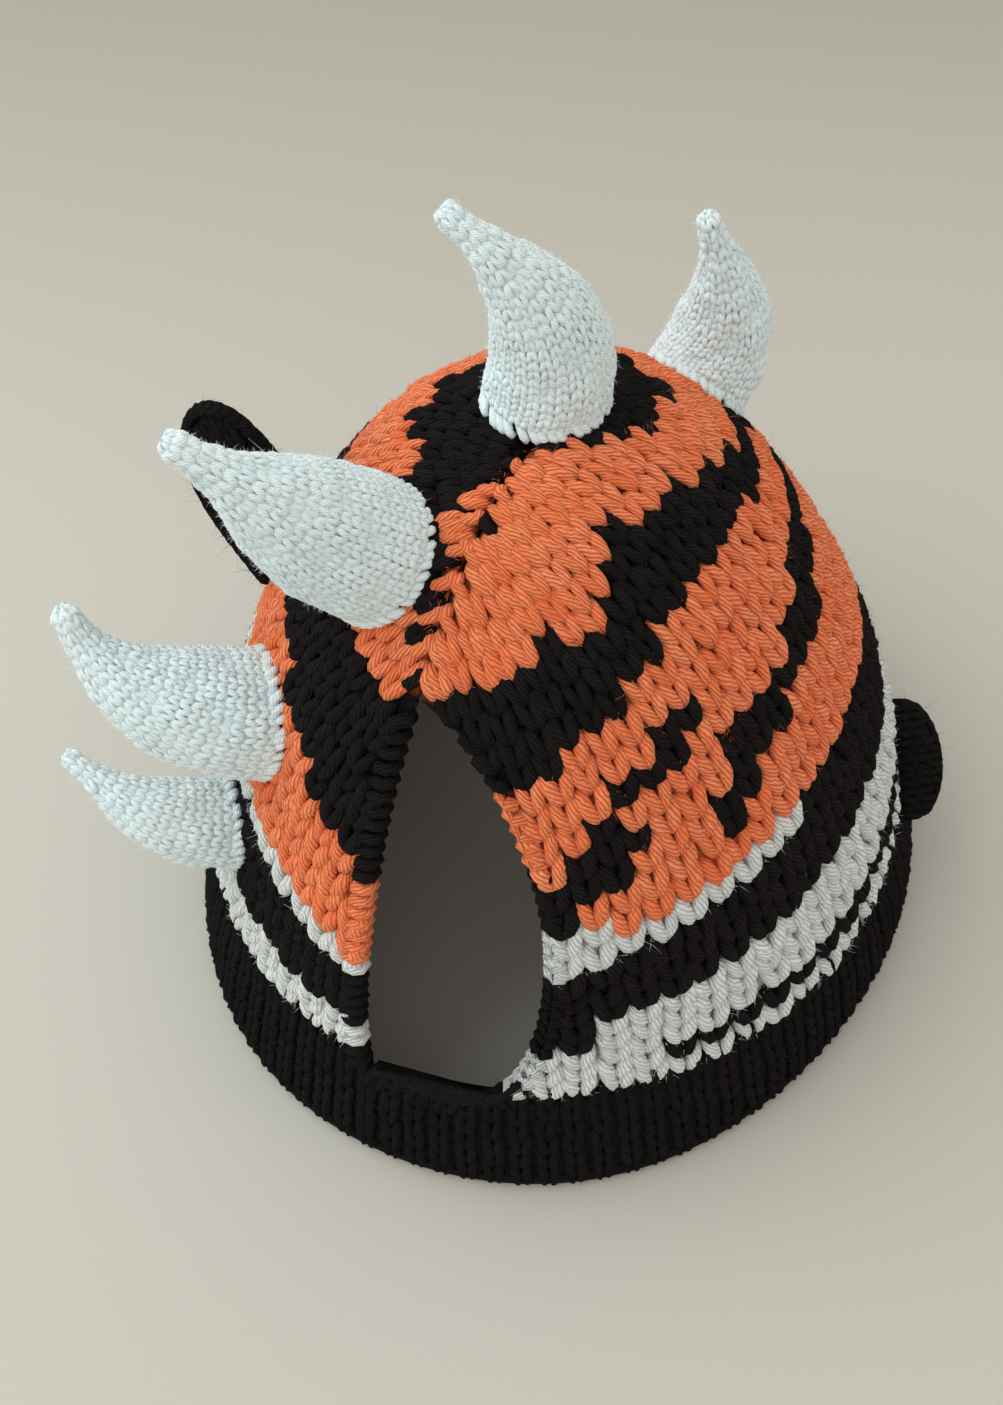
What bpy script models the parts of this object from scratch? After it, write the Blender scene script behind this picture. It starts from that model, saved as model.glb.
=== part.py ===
"""A hand-knitted tea cosy: a hollow dome of two sewn half panels, with stuffed horns, an ear and a side pad.

Lengths are in metres. +Z is up and the hem stands on Z = 0. The handle slot faces -Y and the spout slot +Y,
so the two half panels lie at +X and -X and are sewn together in the YZ plane, above and below the slots.
Run it with: blender --background --python part.py
"""
import math

import bmesh
import bpy
from mathutils import Vector

# The dome
HEM_RADIUS = 0.100        # outer radius of the cosy at the floor
DOME_HEIGHT = 0.173       # hem to crown
WALL = 0.005              # chunky stranded knitting
SHOULDER_POWER = 1.1      # how soon the side starts to lean in
CROWN_POWER = 0.4         # how broad the crown is
WIDTH_ACROSS = 0.99       # plan across the slots, as a share of the round one
WIDTH_ALONG = 1.06        # plan from slot to slot
CORE_HEIGHT = 0.070       # height of the point that every place on the dome is seen from
CENTRE = Vector((-0.0002, 0.0007, 0.0))   # the dome's own axis, from the middle of the whole outline

# The seam, the slots and the ribbed hem
SEAM_GAP = 0.0005
HEM_HEIGHT = 0.036        # the slots start at the hem's top
SLOT_TOP = 0.143
SLOT_BLUNTNESS = 0.45
HEM_TUCK = 0.0015         # how far the hem's edge is drawn in
HEM_TUCK_HEIGHT = 0.010
HEM_FLARE_BEARING = math.radians(246.0)   # where the hem stands out most, beside the handle
RIBS_PER_PANEL = 44
RIB_RELIEF = 0.0007
# height and how much of the ribs' relief shows there
HEM_LEVELS = ((0.0, 1.0), (0.008, 1.0), (0.026, 1.0), (0.0325, 0.0))

# How finely the panels are laid out
DOME_ROWS = 13
DOME_COLUMNS = 22
HEM_COLUMNS = 2 * RIBS_PER_PANEL

# The pieces sewn on
SEWN_GAP = 0.0004         # between the dome's skin and a piece sewn to it
HORN_SIDES = 16
HORN_STEPS = (0.09, 0.19, 0.30, 0.41, 0.52, 0.62, 0.71, 0.79, 0.86, 0.92, 0.965, 0.99)
HORN_NUB = 0.21           # the closed tip's radius, as a share of the base radius
HORN_TAPER = 2.2
HORN_CLOSING = 1.8
FLAP_RAYS = 14
FLAP_RINGS = (0.4, 0.75, 0.93)

ORANGE = (0.82, 0.18, 0.06)
BLACK = (0.012, 0.010, 0.010)
WHITE = (0.80, 0.84, 0.84)

# side of the seam, how far each slot edge is pushed aside at its widest, in degrees round the dome,
# and how many of the hem's top columns each slot's foot leaves bare
PANEL_FIELDS = ("name", "side", "handle_spread", "handle_foot", "spout_spread", "spout_foot")
PANELS = (
    ("panel_right", 1, 30.0, 2, 15.0, 1),
    ("panel_left", -1, 3.0, 0, 15.0, 1),
)

# bearing and rise place the base, in degrees from +X and from the level, seen from the dome's core;
# start turns the way the horn leaves the skin, and hook is the way it points at its tip
HORN_FIELDS = ("name", "bearing", "rise", "base_radius", "start", "tip", "hook")
HORNS = (
    ("horn_crown", 105.0, 83.8, 0.0134, (0.22, 0.10, 0.0), (-0.019, 0.003, 0.223), (-0.80, 0.05, 0.50)),
    ("horn_back", 77.0, 53.0, 0.0126, (0.0, 0.0, 0.0), (0.011, 0.057, 0.190), (-0.40, 0.05, 0.90)),
    ("horn_upper", 238.0, 66.5, 0.0154, (0.0, 0.0, 0.0), (-0.045, -0.057, 0.206), (-0.80, -0.20, 0.55)),
    ("horn_middle", 229.6, 27.5, 0.0154, (0.0, 0.0, 0.0), (-0.082, -0.068, 0.144), (-0.45, 0.30, 0.84)),
    ("horn_lower", 229.7, -3.0, 0.0114, (0.0, 0.0, 0.1), (-0.091, -0.079, 0.091), (-0.85, 0.10, 0.40)),
)

# tilt turns the flap's sewn edge away from the level, and lift raises its free edge, in degrees
FLAP_FIELDS = ("name", "bearing", "rise", "tilt", "width", "reach", "thickness", "lift", "roundness")
FLAPS = (
    ("ear", 203.5, 45.5, 82.0, 0.041, 0.046, 0.0075, 42.0, 0.55),
    ("side_pad", 28.0, -18.5, 41.0, 0.034, 0.0110, 0.0120, 0.0, 0.80),
)


def rows_of(fields, table):
    """Give each row of a table as a dictionary with its column names."""
    return [dict(zip(fields, row)) for row in table]


def ring_radius(height, inset=0.0):
    """Radius of the dome's level ring, drawn in by the wall's thickness for its inner skin."""
    share = min(max(height, 0.0) / (DOME_HEIGHT - inset), 1.0)
    tuck = HEM_TUCK * max(0.0, 1.0 - height / HEM_TUCK_HEIGHT) ** 2 if inset == 0.0 else 0.0
    return (HEM_RADIUS - inset) * (1.0 - share ** SHOULDER_POWER) ** CROWN_POWER - tuck


def slump(bearing, height):
    """The soft unevenness of a cosy pulled over a pot, as a factor on the ring's radius."""
    up = height / DOME_HEIGHT
    lean = 0.016 * math.cos(bearing - 0.5) * up
    belly = 0.010 * math.sin(2.0 * bearing + 0.7) * math.sin(math.pi * up)
    dimples = 0.006 * math.sin(5.0 * bearing + 9.0 * up) * (1.0 - up)
    flare = 0.037 * max(0.0, math.cos(bearing - HEM_FLARE_BEARING)) ** 4 * (1.0 - up) ** 3
    return 1.0 + lean + belly + dimples + flare


def slot_angle(height, widest, foot):
    """How far a slot's edge stands aside from the seam at a height, as an angle round the dome."""
    share = (height - HEM_HEIGHT) / (SLOT_TOP - HEM_HEIGHT)
    if not 0.0 < share < 1.0:
        return 0.0
    bow = (4.0 * share * (1.0 - share)) ** SLOT_BLUNTNESS
    start = math.pi * foot / DOME_COLUMNS if share < 0.5 else 0.0
    return start + (math.radians(widest) - start) * bow


def climb_height(climb):
    """Height on the dome for a climb from the floor, 0, to the crown, 1, in even steps of skin."""
    return DOME_HEIGHT * math.sin(0.5 * math.pi * climb) ** (2.0 / SHOULDER_POWER)


def hem_climb():
    """The climb at which the ribbed hem ends."""
    return math.asin((HEM_HEIGHT / DOME_HEIGHT) ** (0.5 * SHOULDER_POWER)) / (0.5 * math.pi)


def row_heights():
    """Heights of the panel's rows between the hem and the crown."""
    start = hem_climb()
    return [climb_height(start + (1.0 - start) * step / DOME_ROWS) for step in range(1, DOME_ROWS)]


def on_ring(turn, height, radius):
    """The point at a bearing and height on a ring of the oval, slumped dome."""
    reach = radius * slump(turn, height)
    return Vector((WIDTH_ACROSS * reach * math.cos(turn), WIDTH_ALONG * reach * math.sin(turn), height))


def panel_row(panel, height, columns, inset=0.0, relief=0.0):
    """Points of one row of a panel, from its handle-side edge round to its spout-side edge."""
    radius = ring_radius(height, inset)
    gap = 0.5 * SEAM_GAP / (WIDTH_ACROSS * radius)
    start = slot_angle(height, panel["handle_spread"], panel["handle_foot"]) + gap
    end = math.pi - slot_angle(height, panel["spout_spread"], panel["spout_foot"]) - gap
    points = []
    for column in range(columns + 1):
        swing = start + (end - start) * column / columns
        turn = -0.5 * math.pi + panel["side"] * swing
        wave = relief * math.cos(2.0 * math.pi * column * RIBS_PER_PANEL / columns)
        points.append(on_ring(turn, height, radius + wave))
    return points


def crown_point(panel, inset=0.0):
    """Where all of a panel's columns meet, beside the seam."""
    return Vector((0.5 * panel["side"] * SEAM_GAP, 0.0, DOME_HEIGHT - inset))


def add_row(mesh, points):
    """Put a row of points into the mesh and return its vertices."""
    return [mesh.verts.new(point) for point in points]


def bridge(mesh, row_a, row_b):
    """Join two rows of vertices by faces, in step along both, also where their counts differ."""
    last_a, last_b = len(row_a) - 1, len(row_b) - 1
    a = b = 0
    while a < last_a or b < last_b:
        next_a = (a + 1) * last_b if a < last_a else math.inf
        next_b = (b + 1) * last_a if b < last_b else math.inf
        if next_a == next_b:
            mesh.faces.new((row_a[a], row_a[a + 1], row_b[b + 1], row_b[b]))
            a, b = a + 1, b + 1
        elif next_a < next_b:
            mesh.faces.new((row_a[a], row_a[a + 1], row_b[b]))
            a += 1
        else:
            mesh.faces.new((row_a[a], row_b[b + 1], row_b[b]))
            b += 1


def panel_skin(mesh, panel, inset, hem_columns, relief):
    """One skin of a panel. Returns its floor row and its two edges, each from the floor to the crown."""
    hem = [
        add_row(mesh, panel_row(panel, z, hem_columns, inset, relief * share)) for z, share in HEM_LEVELS
    ]
    top = add_row(mesh, panel_row(panel, HEM_HEIGHT, DOME_COLUMNS, inset))
    handle_foot, spout_foot = panel["handle_foot"], panel["spout_foot"]
    above = top[handle_foot:len(top) - spout_foot]
    heights = [z * (1.0 - inset / DOME_HEIGHT) for z in row_heights()]
    dome = [add_row(mesh, panel_row(panel, z, len(above) - 1, inset)) for z in heights]
    dome.append(add_row(mesh, [crown_point(panel, inset)]))
    for lower, upper in [*zip(hem, hem[1:] + [top]), *zip([above] + dome, dome)]:
        bridge(mesh, lower, upper)
    handle_edge = [row[0] for row in hem] + top[:handle_foot + 1] + [row[0] for row in dome]
    spout_edge = [row[-1] for row in hem] + top[:-spout_foot - 2:-1] + [row[-1] for row in dome]
    return hem[0], handle_edge, spout_edge


def make_panel(panel):
    """A half panel: ribbed outer skin, plain inner skin, and the edges between them."""
    mesh = bmesh.new()
    outer = panel_skin(mesh, panel, 0.0, HEM_COLUMNS, RIB_RELIEF)
    inner = panel_skin(mesh, panel, WALL, DOME_COLUMNS, 0.0)
    for outer_row, inner_row in zip(outer, inner):
        bridge(mesh, outer_row, inner_row)
    return mesh


def outside_dome(point):
    """Whether a point lies outside the dome's outer skin, counting the hem as high as its ribs."""
    if point.z >= DOME_HEIGHT:
        return True
    turn = math.atan2(point.y / WIDTH_ALONG, point.x / WIDTH_ACROSS)
    ribs = RIB_RELIEF if point.z < HEM_HEIGHT else 0.0
    edge = on_ring(turn, point.z, ring_radius(point.z) + ribs)
    return point.xy.length > edge.xy.length


def lay_on_dome(point, lift=SEWN_GAP):
    """Move a point along its ray from the core to the dome's skin, and lift it off by a gap."""
    core = Vector((0.0, 0.0, CORE_HEIGHT))
    ray = (point - core).normalized()
    near, far = 0.0, 4.0 * HEM_RADIUS
    for _ in range(40):
        middle = 0.5 * (near + far)
        if outside_dome(core + middle * ray):
            far = middle
        else:
            near = middle
    return core + (near + lift) * ray


def dome_place(bearing, rise):
    """The point of the skin at a bearing and rise from the core, with the skin's normal there."""
    core = Vector((0.0, 0.0, CORE_HEIGHT))
    turn, tip_up = math.radians(bearing), math.radians(rise)
    ray = Vector((math.cos(tip_up) * math.cos(turn), math.cos(tip_up) * math.sin(turn), math.sin(tip_up)))
    level = Vector((-math.sin(turn), math.cos(turn), 0.0))
    steep = ray.cross(level)
    step = 0.2 * HEM_RADIUS
    east, west, north, south = (
        lay_on_dome(core + HEM_RADIUS * ray + side * step, 0.0) for side in (level, -level, steep, -steep)
    )
    return lay_on_dome(core + ray), (east - west).cross(north - south).normalized()


def horn_line(base, start, tip, hook, along):
    """Centre of a horn and its direction, on a curve that leaves the base one way and ends in the hook."""
    length = (tip - base).length
    handles = (base, base + 0.42 * length * start, tip - 0.32 * length * hook, tip)
    left = 1.0 - along
    weights = (left ** 3, 3.0 * left * left * along, 3.0 * left * along * along, along ** 3)
    slopes = (left * left, 2.0 * left * along, along * along)
    centre = sum((w * p for w, p in zip(weights, handles)), Vector())
    runs = [after - before for before, after in zip(handles, handles[1:])]
    return centre, sum((w * run for w, run in zip(slopes, runs)), Vector()).normalized()


def horn_radius(along, base_radius, closing_length):
    """Radius of a horn: full at the base, tapering to a narrow nub with a round end."""
    body = (1.0 - along ** HORN_TAPER) ** HORN_CLOSING
    radius = base_radius * math.hypot(body, HORN_NUB) / math.hypot(1.0, HORN_NUB)
    past = max(0.0, 1.0 - (1.0 - along) / closing_length)
    return radius * math.sqrt(1.0 - past * past)


def ring_points(centre, direction, across, radius):
    """Points of a ring round a direction, starting at the side that faces across."""
    side = (across - across.dot(direction) * direction).normalized()
    other = direction.cross(side)
    turns = [2.0 * math.pi * step / HORN_SIDES for step in range(HORN_SIDES)]
    return [centre + radius * (math.cos(t) * side + math.sin(t) * other) for t in turns]


def close_ring(row):
    """A row of vertices that returns to its start."""
    return row + row[:1]


def make_horn(horn):
    """A stuffed horn: a bent, tapering tube whose base follows the dome."""
    base, normal = dome_place(horn["bearing"], horn["rise"])
    start = (normal + Vector(horn["start"])).normalized()
    tip = Vector(horn["tip"])
    hook = Vector(horn["hook"]).normalized()
    across = start.cross(hook)
    closing = HORN_NUB * horn["base_radius"] / (tip - base).length
    mesh = bmesh.new()
    seated = [0.45 * horn["base_radius"], 0.97 * horn["base_radius"]]
    rows = [
        add_row(mesh, [lay_on_dome(p) for p in ring_points(base, normal, across, radius)])
        for radius in seated
    ]
    for along in HORN_STEPS:
        centre, direction = horn_line(base, start, tip, hook, along)
        radius = horn_radius(along, horn["base_radius"], closing)
        rows.append(add_row(mesh, ring_points(centre, direction, across, radius)))
    for lower, upper in zip(rows, rows[1:]):
        bridge(mesh, close_ring(lower), close_ring(upper))
    bridge(mesh, close_ring(rows[0]), [mesh.verts.new(base)])
    bridge(mesh, close_ring(rows[-1]), [mesh.verts.new(tip)])
    return mesh


def flap_frame(flap):
    """Base point of a flap, and its directions along the sewn edge, outwards and through it."""
    base, normal = dome_place(flap["bearing"], flap["rise"])
    level = Vector((0.0, 0.0, 1.0)).cross(normal).normalized()
    upward = normal.cross(level)
    tilt, lift = math.radians(flap["tilt"]), math.radians(flap["lift"])
    edge = math.cos(tilt) * level + math.sin(tilt) * upward
    outwards = (normal + math.tan(lift) * upward).normalized()
    return base, edge, outwards, edge.cross(outwards).normalized()


def flap_arc(flap, frame, share, offset):
    """Points of an arc of a flap from one end of its sewn edge to the other, the ends on the dome."""
    base, edge, outwards, through = frame
    points = []
    for ray in range(FLAP_RAYS + 1):
        turn = math.pi * ray / FLAP_RAYS
        run = 0.5 * flap["width"] * math.cos(turn) * share
        rise = flap["reach"] * math.sin(turn) ** flap["roundness"] * share
        point = base + run * edge + rise * outwards + offset * through
        points.append(lay_on_dome(point) if ray in (0, FLAP_RAYS) else point)
    return points


def flap_side(mesh, flap, frame, side, rim):
    """One face of a flap out to the shared rim. Returns the vertices of its sewn edge."""
    base, through = frame[0], frame[3]
    middle = lay_on_dome(base + side * 0.5 * flap["thickness"] * through)
    rows = [add_row(mesh, [middle])]
    for share in FLAP_RINGS:
        bulge = 0.5 * flap["thickness"] * math.sqrt(1.0 - share ** 4)
        rows.append(add_row(mesh, flap_arc(flap, frame, share, side * bulge)))
    rows.append(rim)
    for inner, outer in zip(rows, rows[1:]):
        bridge(mesh, inner, outer)
    return [row[-1] for row in rows[-2:0:-1]] + [rows[0][0]] + [row[0] for row in rows[1:-1]]


def make_flap(flap):
    """A small knitted flap, padded and round at its free edge, that stands out of the dome."""
    frame = flap_frame(flap)
    mesh = bmesh.new()
    rim = add_row(mesh, flap_arc(flap, frame, 1.0, 0.0))
    front, back = (flap_side(mesh, flap, frame, side, rim) for side in (1, -1))
    bridge(mesh, front, back)
    mesh.faces.new((rim[-1], front[0], back[0]))
    mesh.faces.new((rim[0], front[-1], back[-1]))
    return mesh


def yarn_material(name, colour):
    """A plain soft material in a yarn's colour."""
    material = bpy.data.materials.new(name)
    material.use_nodes = True
    surface = material.node_tree.nodes["Principled BSDF"]
    surface.inputs["Base Color"].default_value = (*colour, 1.0)
    surface.inputs["Roughness"].default_value = 0.9
    surface.inputs["Metallic"].default_value = 0.0
    return material


def place(mesh, name, colour, collection):
    """Turn a built mesh into a named object that stands at the dome's axis."""
    bmesh.ops.recalc_face_normals(mesh, faces=mesh.faces)
    data = bpy.data.meshes.new(name)
    mesh.to_mesh(data)
    mesh.free()
    data.shade_smooth()
    data.set_sharp_from_angle(angle=math.radians(60.0))
    data.materials.append(yarn_material(name + "_yarn", colour))
    obj = bpy.data.objects.new(name, data)
    obj.location = CENTRE
    collection.objects.link(obj)


def main():
    """Clear the scene and build the cosy."""
    for obj in list(bpy.data.objects):
        bpy.data.objects.remove(obj, do_unlink=True)
    collection = bpy.data.collections.new("tea_cosy")
    bpy.context.scene.collection.children.link(collection)
    for panel in rows_of(PANEL_FIELDS, PANELS):
        place(make_panel(panel), panel["name"], ORANGE, collection)
    for horn in rows_of(HORN_FIELDS, HORNS):
        place(make_horn(horn), horn["name"], WHITE, collection)
    for flap in rows_of(FLAP_FIELDS, FLAPS):
        place(make_flap(flap), flap["name"], BLACK, collection)


main()
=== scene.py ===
"""Dresses a knitted tea cosy: stranded half panels, a ribbed hem, stuffed horns, an ear and a side pad.

Lengths are in metres. +Z is up and the hem stands on Z = 0. The handle slot faces -Y and the spout slot +Y,
so the two half panels lie at +X and -X and are sewn together in the YZ plane. Bearings turn from +X to +Y.
"""
import logging
import math
from dataclasses import dataclass, field
from enum import Enum
from functools import cached_property

import bpy
import numpy as np
from mathutils import Matrix


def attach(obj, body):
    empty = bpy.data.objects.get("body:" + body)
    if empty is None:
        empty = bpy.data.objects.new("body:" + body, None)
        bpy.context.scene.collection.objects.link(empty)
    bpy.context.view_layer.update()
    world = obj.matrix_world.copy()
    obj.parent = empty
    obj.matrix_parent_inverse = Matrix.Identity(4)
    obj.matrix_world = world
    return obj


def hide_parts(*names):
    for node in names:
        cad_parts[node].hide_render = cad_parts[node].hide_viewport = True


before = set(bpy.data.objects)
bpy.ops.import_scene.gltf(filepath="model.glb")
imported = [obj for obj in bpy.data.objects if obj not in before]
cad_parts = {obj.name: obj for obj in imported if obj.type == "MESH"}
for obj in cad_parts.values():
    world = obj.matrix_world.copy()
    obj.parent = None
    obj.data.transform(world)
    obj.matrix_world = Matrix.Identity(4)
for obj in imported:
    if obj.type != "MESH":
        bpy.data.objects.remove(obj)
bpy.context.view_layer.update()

LOG = logging.getLogger("tea_cosy")
Array = np.ndarray
Triple = tuple[float, float, float]
Socket = bpy.types.NodeSocket
MM = 0.001
UP = np.array([0.0, 0.0, 1.0])
TOP = 40.0    # a row above every other
# Tints: in a yarn's finish a tint sets how strongly the painted highlight shows on the crests; the padding's
# low tint gives it little.
PLAIN_TINT = 0.25
MOST_TINT = 0.6
PADDING_TINT = 0.1


def unit(vectors: Array) -> Array:
    """Scale vectors to length one along the last axis."""
    return vectors / np.maximum(np.linalg.norm(vectors, axis=-1, keepdims=True), 1e-12)


def spokes(angle: Array, first: Array, second: Array) -> Array:
    """Directions at angles from a first axis towards a second one."""
    return np.cos(angle)[..., None] * first + np.sin(angle)[..., None] * second


def over_rim(normal: Array, turn: Array, rim: Array) -> Array:
    """Outward directions of yarn that rolls over a rim of the cloth.

    Args:
        normal: The skin's normals.
        turn: One for each step of the yarn, from 1 on the right side to -1 on the wrong side.
        rim: The direction that the rim faces.

    Returns:
        The outward direction at each step.
    """
    return unit(normal * turn[:, None] + rim * (1.0 - np.abs(turn[:, None])))


def wall_faces(levels: int, around: int, closed: bool = True) -> Array:
    """Four-cornered faces between rings of points, one ring a level, the rings closed or left open.

    Args:
        levels: How many rings there are.
        around: How many points each ring has.
        closed: Whether each ring runs back to its start.

    Returns:
        The four corners of each face.
    """
    last = around if closed else around - 1
    level, ring = np.meshgrid(np.arange(levels - 1), np.arange(last), indexing="ij")
    here, after = level * around + ring, level * around + (ring + 1) % around
    return np.stack([here, after, after + around, here + around], axis=-1).reshape(-1, 4)


class Yarn(Enum):
    """The yarns that the body is knitted in."""

    ORANGE = "orange"
    BLACK = "black"
    WHITE = "white"


@dataclass(frozen=True)
class Dome:
    """The cosy's outer form over its pot."""

    centre: Triple = (-0.0002, 0.0007, 0.0)
    hem_radius: float = 0.100
    height: float = 0.173
    wall: float = 0.005
    shoulder_power: float = 1.1
    crown_power: float = 0.4
    across: float = 0.99
    along: float = 1.06
    tuck: float = 0.0015
    tuck_height: float = 0.010
    lean: float = 0.016
    belly: float = 0.010
    dimple: float = 0.006
    flare: float = 0.037
    flare_bearing: float = math.radians(246.0)
    core_height: float = 0.070
    levels: int = 1200

    def ring_radius(self, z: Array, inset: float = 0.0) -> Array:
        """Radius of the level ring at a height.

        Args:
            z: Heights above the floor.
            inset: How far the skin lies inside the outer one.

        Returns:
            The rings' radii.
        """
        share = np.clip(z / (self.height - inset), 0.0, 1.0)
        tuck = self.tuck * np.maximum(0.0, 1.0 - z / self.tuck_height) ** 2 if inset == 0.0 else 0.0
        return (self.hem_radius - inset) * (1.0 - share**self.shoulder_power) ** self.crown_power - tuck

    def slump(self, bearing: Array, z: Array) -> Array:
        """The soft unevenness of a cosy pulled over a pot, as a factor on the ring's radius.

        Args:
            bearing: Bearings round the dome.
            z: Heights above the floor.

        Returns:
            The factors.
        """
        up = z / self.height
        lean = self.lean * np.cos(bearing - 0.5) * up
        belly = self.belly * np.sin(2.0 * bearing + 0.7) * np.sin(np.pi * up)
        dimples = self.dimple * np.sin(5.0 * bearing + 9.0 * up) * (1.0 - up)
        flare = self.flare * np.maximum(0.0, np.cos(bearing - self.flare_bearing)) ** 4 * (1.0 - up) ** 3
        return 1.0 + lean + belly + dimples + flare

    def point(self, bearing: Array, z: Array, inset: float = 0.0) -> Array:
        """Points of a skin of the dome at bearings and heights.

        Args:
            bearing: Bearings round the dome.
            z: Heights above the floor.
            inset: How far the skin lies inside the outer one.

        Returns:
            The points.
        """
        bearing, z = np.broadcast_arrays(np.asarray(bearing, float), np.asarray(z, float))
        reach = self.ring_radius(z, inset) * self.slump(bearing, z)
        offset = [self.across * reach * np.cos(bearing), self.along * reach * np.sin(bearing), z]
        return np.stack(offset, axis=-1) + np.array(self.centre)

    def normal(self, bearing: Array, z: Array) -> Array:
        """Outward unit normals of the outer skin.

        Args:
            bearing: Bearings round the dome.
            z: Heights above the floor.

        Returns:
            The normals.
        """
        turn, climb = 0.01, 0.0004
        low = np.clip(z - climb, 0.0, self.height - 3.0 * climb)
        high = low + 2.0 * climb
        middle = 0.5 * (low + high)
        around = self.point(bearing + turn, middle) - self.point(bearing - turn, middle)
        upward = self.point(bearing, high) - self.point(bearing, low)
        return unit(np.cross(around, upward))

    @cached_property
    def profile(self) -> tuple[Array, Array, Array]:
        """Heights, skin lengths from the floor, and quarter-ring lengths, from the hem to the crown.

        Returns:
            The three of them, one value for each level.
        """
        climb = np.linspace(0.0, 1.0, self.levels)
        z = self.height * np.sin(0.5 * np.pi * climb) ** (2.0 / self.shoulder_power)
        radius = self.ring_radius(z) * 0.5 * (self.across + self.along)
        length = np.concatenate([[0.0], np.cumsum(np.hypot(np.diff(radius), np.diff(z)))])
        return z, length, 0.5 * np.pi * radius

    @cached_property
    def crown_length(self) -> float:
        """Skin length from the floor up to the crown."""
        return float(self.profile[1][-1])

    @cached_property
    def core(self) -> Array:
        """The point inside that rays to the skin start from."""
        return np.array(self.centre) + np.array([0.0, 0.0, self.core_height])

    def length_at(self, z: Array) -> Array:
        """Skin length from the floor up to a height."""
        return np.interp(z, self.profile[0], self.profile[1])

    def height_at(self, length: Array) -> Array:
        """Height at a skin length from the floor."""
        return np.interp(length, self.profile[1], self.profile[0])

    def quarter_at(self, length: Array) -> Array:
        """Length of a quarter of the ring at a skin length from the floor."""
        return np.interp(length, self.profile[1], self.profile[2])

    def outside(self, points: Array) -> Array:
        """Whether points lie outside the outer skin.

        Args:
            points: Points in the scene.

        Returns:
            True for each one that does.
        """
        local = points - np.array(self.centre)
        turn = np.arctan2(local[..., 1] / self.along, local[..., 0] / self.across)
        z = np.clip(local[..., 2], 0.0, self.height)
        edge = self.point(turn, z) - np.array(self.centre)
        wider = np.hypot(local[..., 0], local[..., 1]) > np.hypot(edge[..., 0], edge[..., 1])
        return wider | (local[..., 2] >= self.height)

    def land(self, points: Array, lift: float = 0.0) -> Array:
        """Move points along their rays from the dome's core to its skin, and lift them off it.

        Args:
            points: Points to move.
            lift: How far off the skin they land.

        Returns:
            The moved points.
        """
        rays = unit(points - self.core)
        near = np.zeros(points.shape[:-1])
        far = np.full(points.shape[:-1], 4.0 * self.hem_radius)
        for _ in range(34):
            middle = 0.5 * (near + far)
            out = self.outside(self.core + middle[..., None] * rays)
            far = np.where(out, middle, far)
            near = np.where(out, near, middle)
        return self.core + (near + lift)[..., None] * rays

    def seat(self, bearing: float, rise: float) -> tuple[Array, Array]:
        """The skin's point and normal at a bearing and rise from the core, in degrees.

        Args:
            bearing: Bearing of the place, in degrees.
            rise: How steeply it stands above the core, in degrees.

        Returns:
            The point and the unit normal.
        """
        turn, tip_up = math.radians(bearing), math.radians(rise)
        flat = math.cos(tip_up)
        ray = np.array([flat * math.cos(turn), flat * math.sin(turn), math.sin(tip_up)])
        level = np.array([-math.sin(turn), math.cos(turn), 0.0])
        steep = np.cross(ray, level)
        start, step = self.core + self.hem_radius * ray, 0.2 * self.hem_radius
        east, west, north, south = self.land(start + step * np.array([level, -level, steep, -steep]))
        return self.land(start), unit(np.cross(east - west, north - south))


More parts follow.
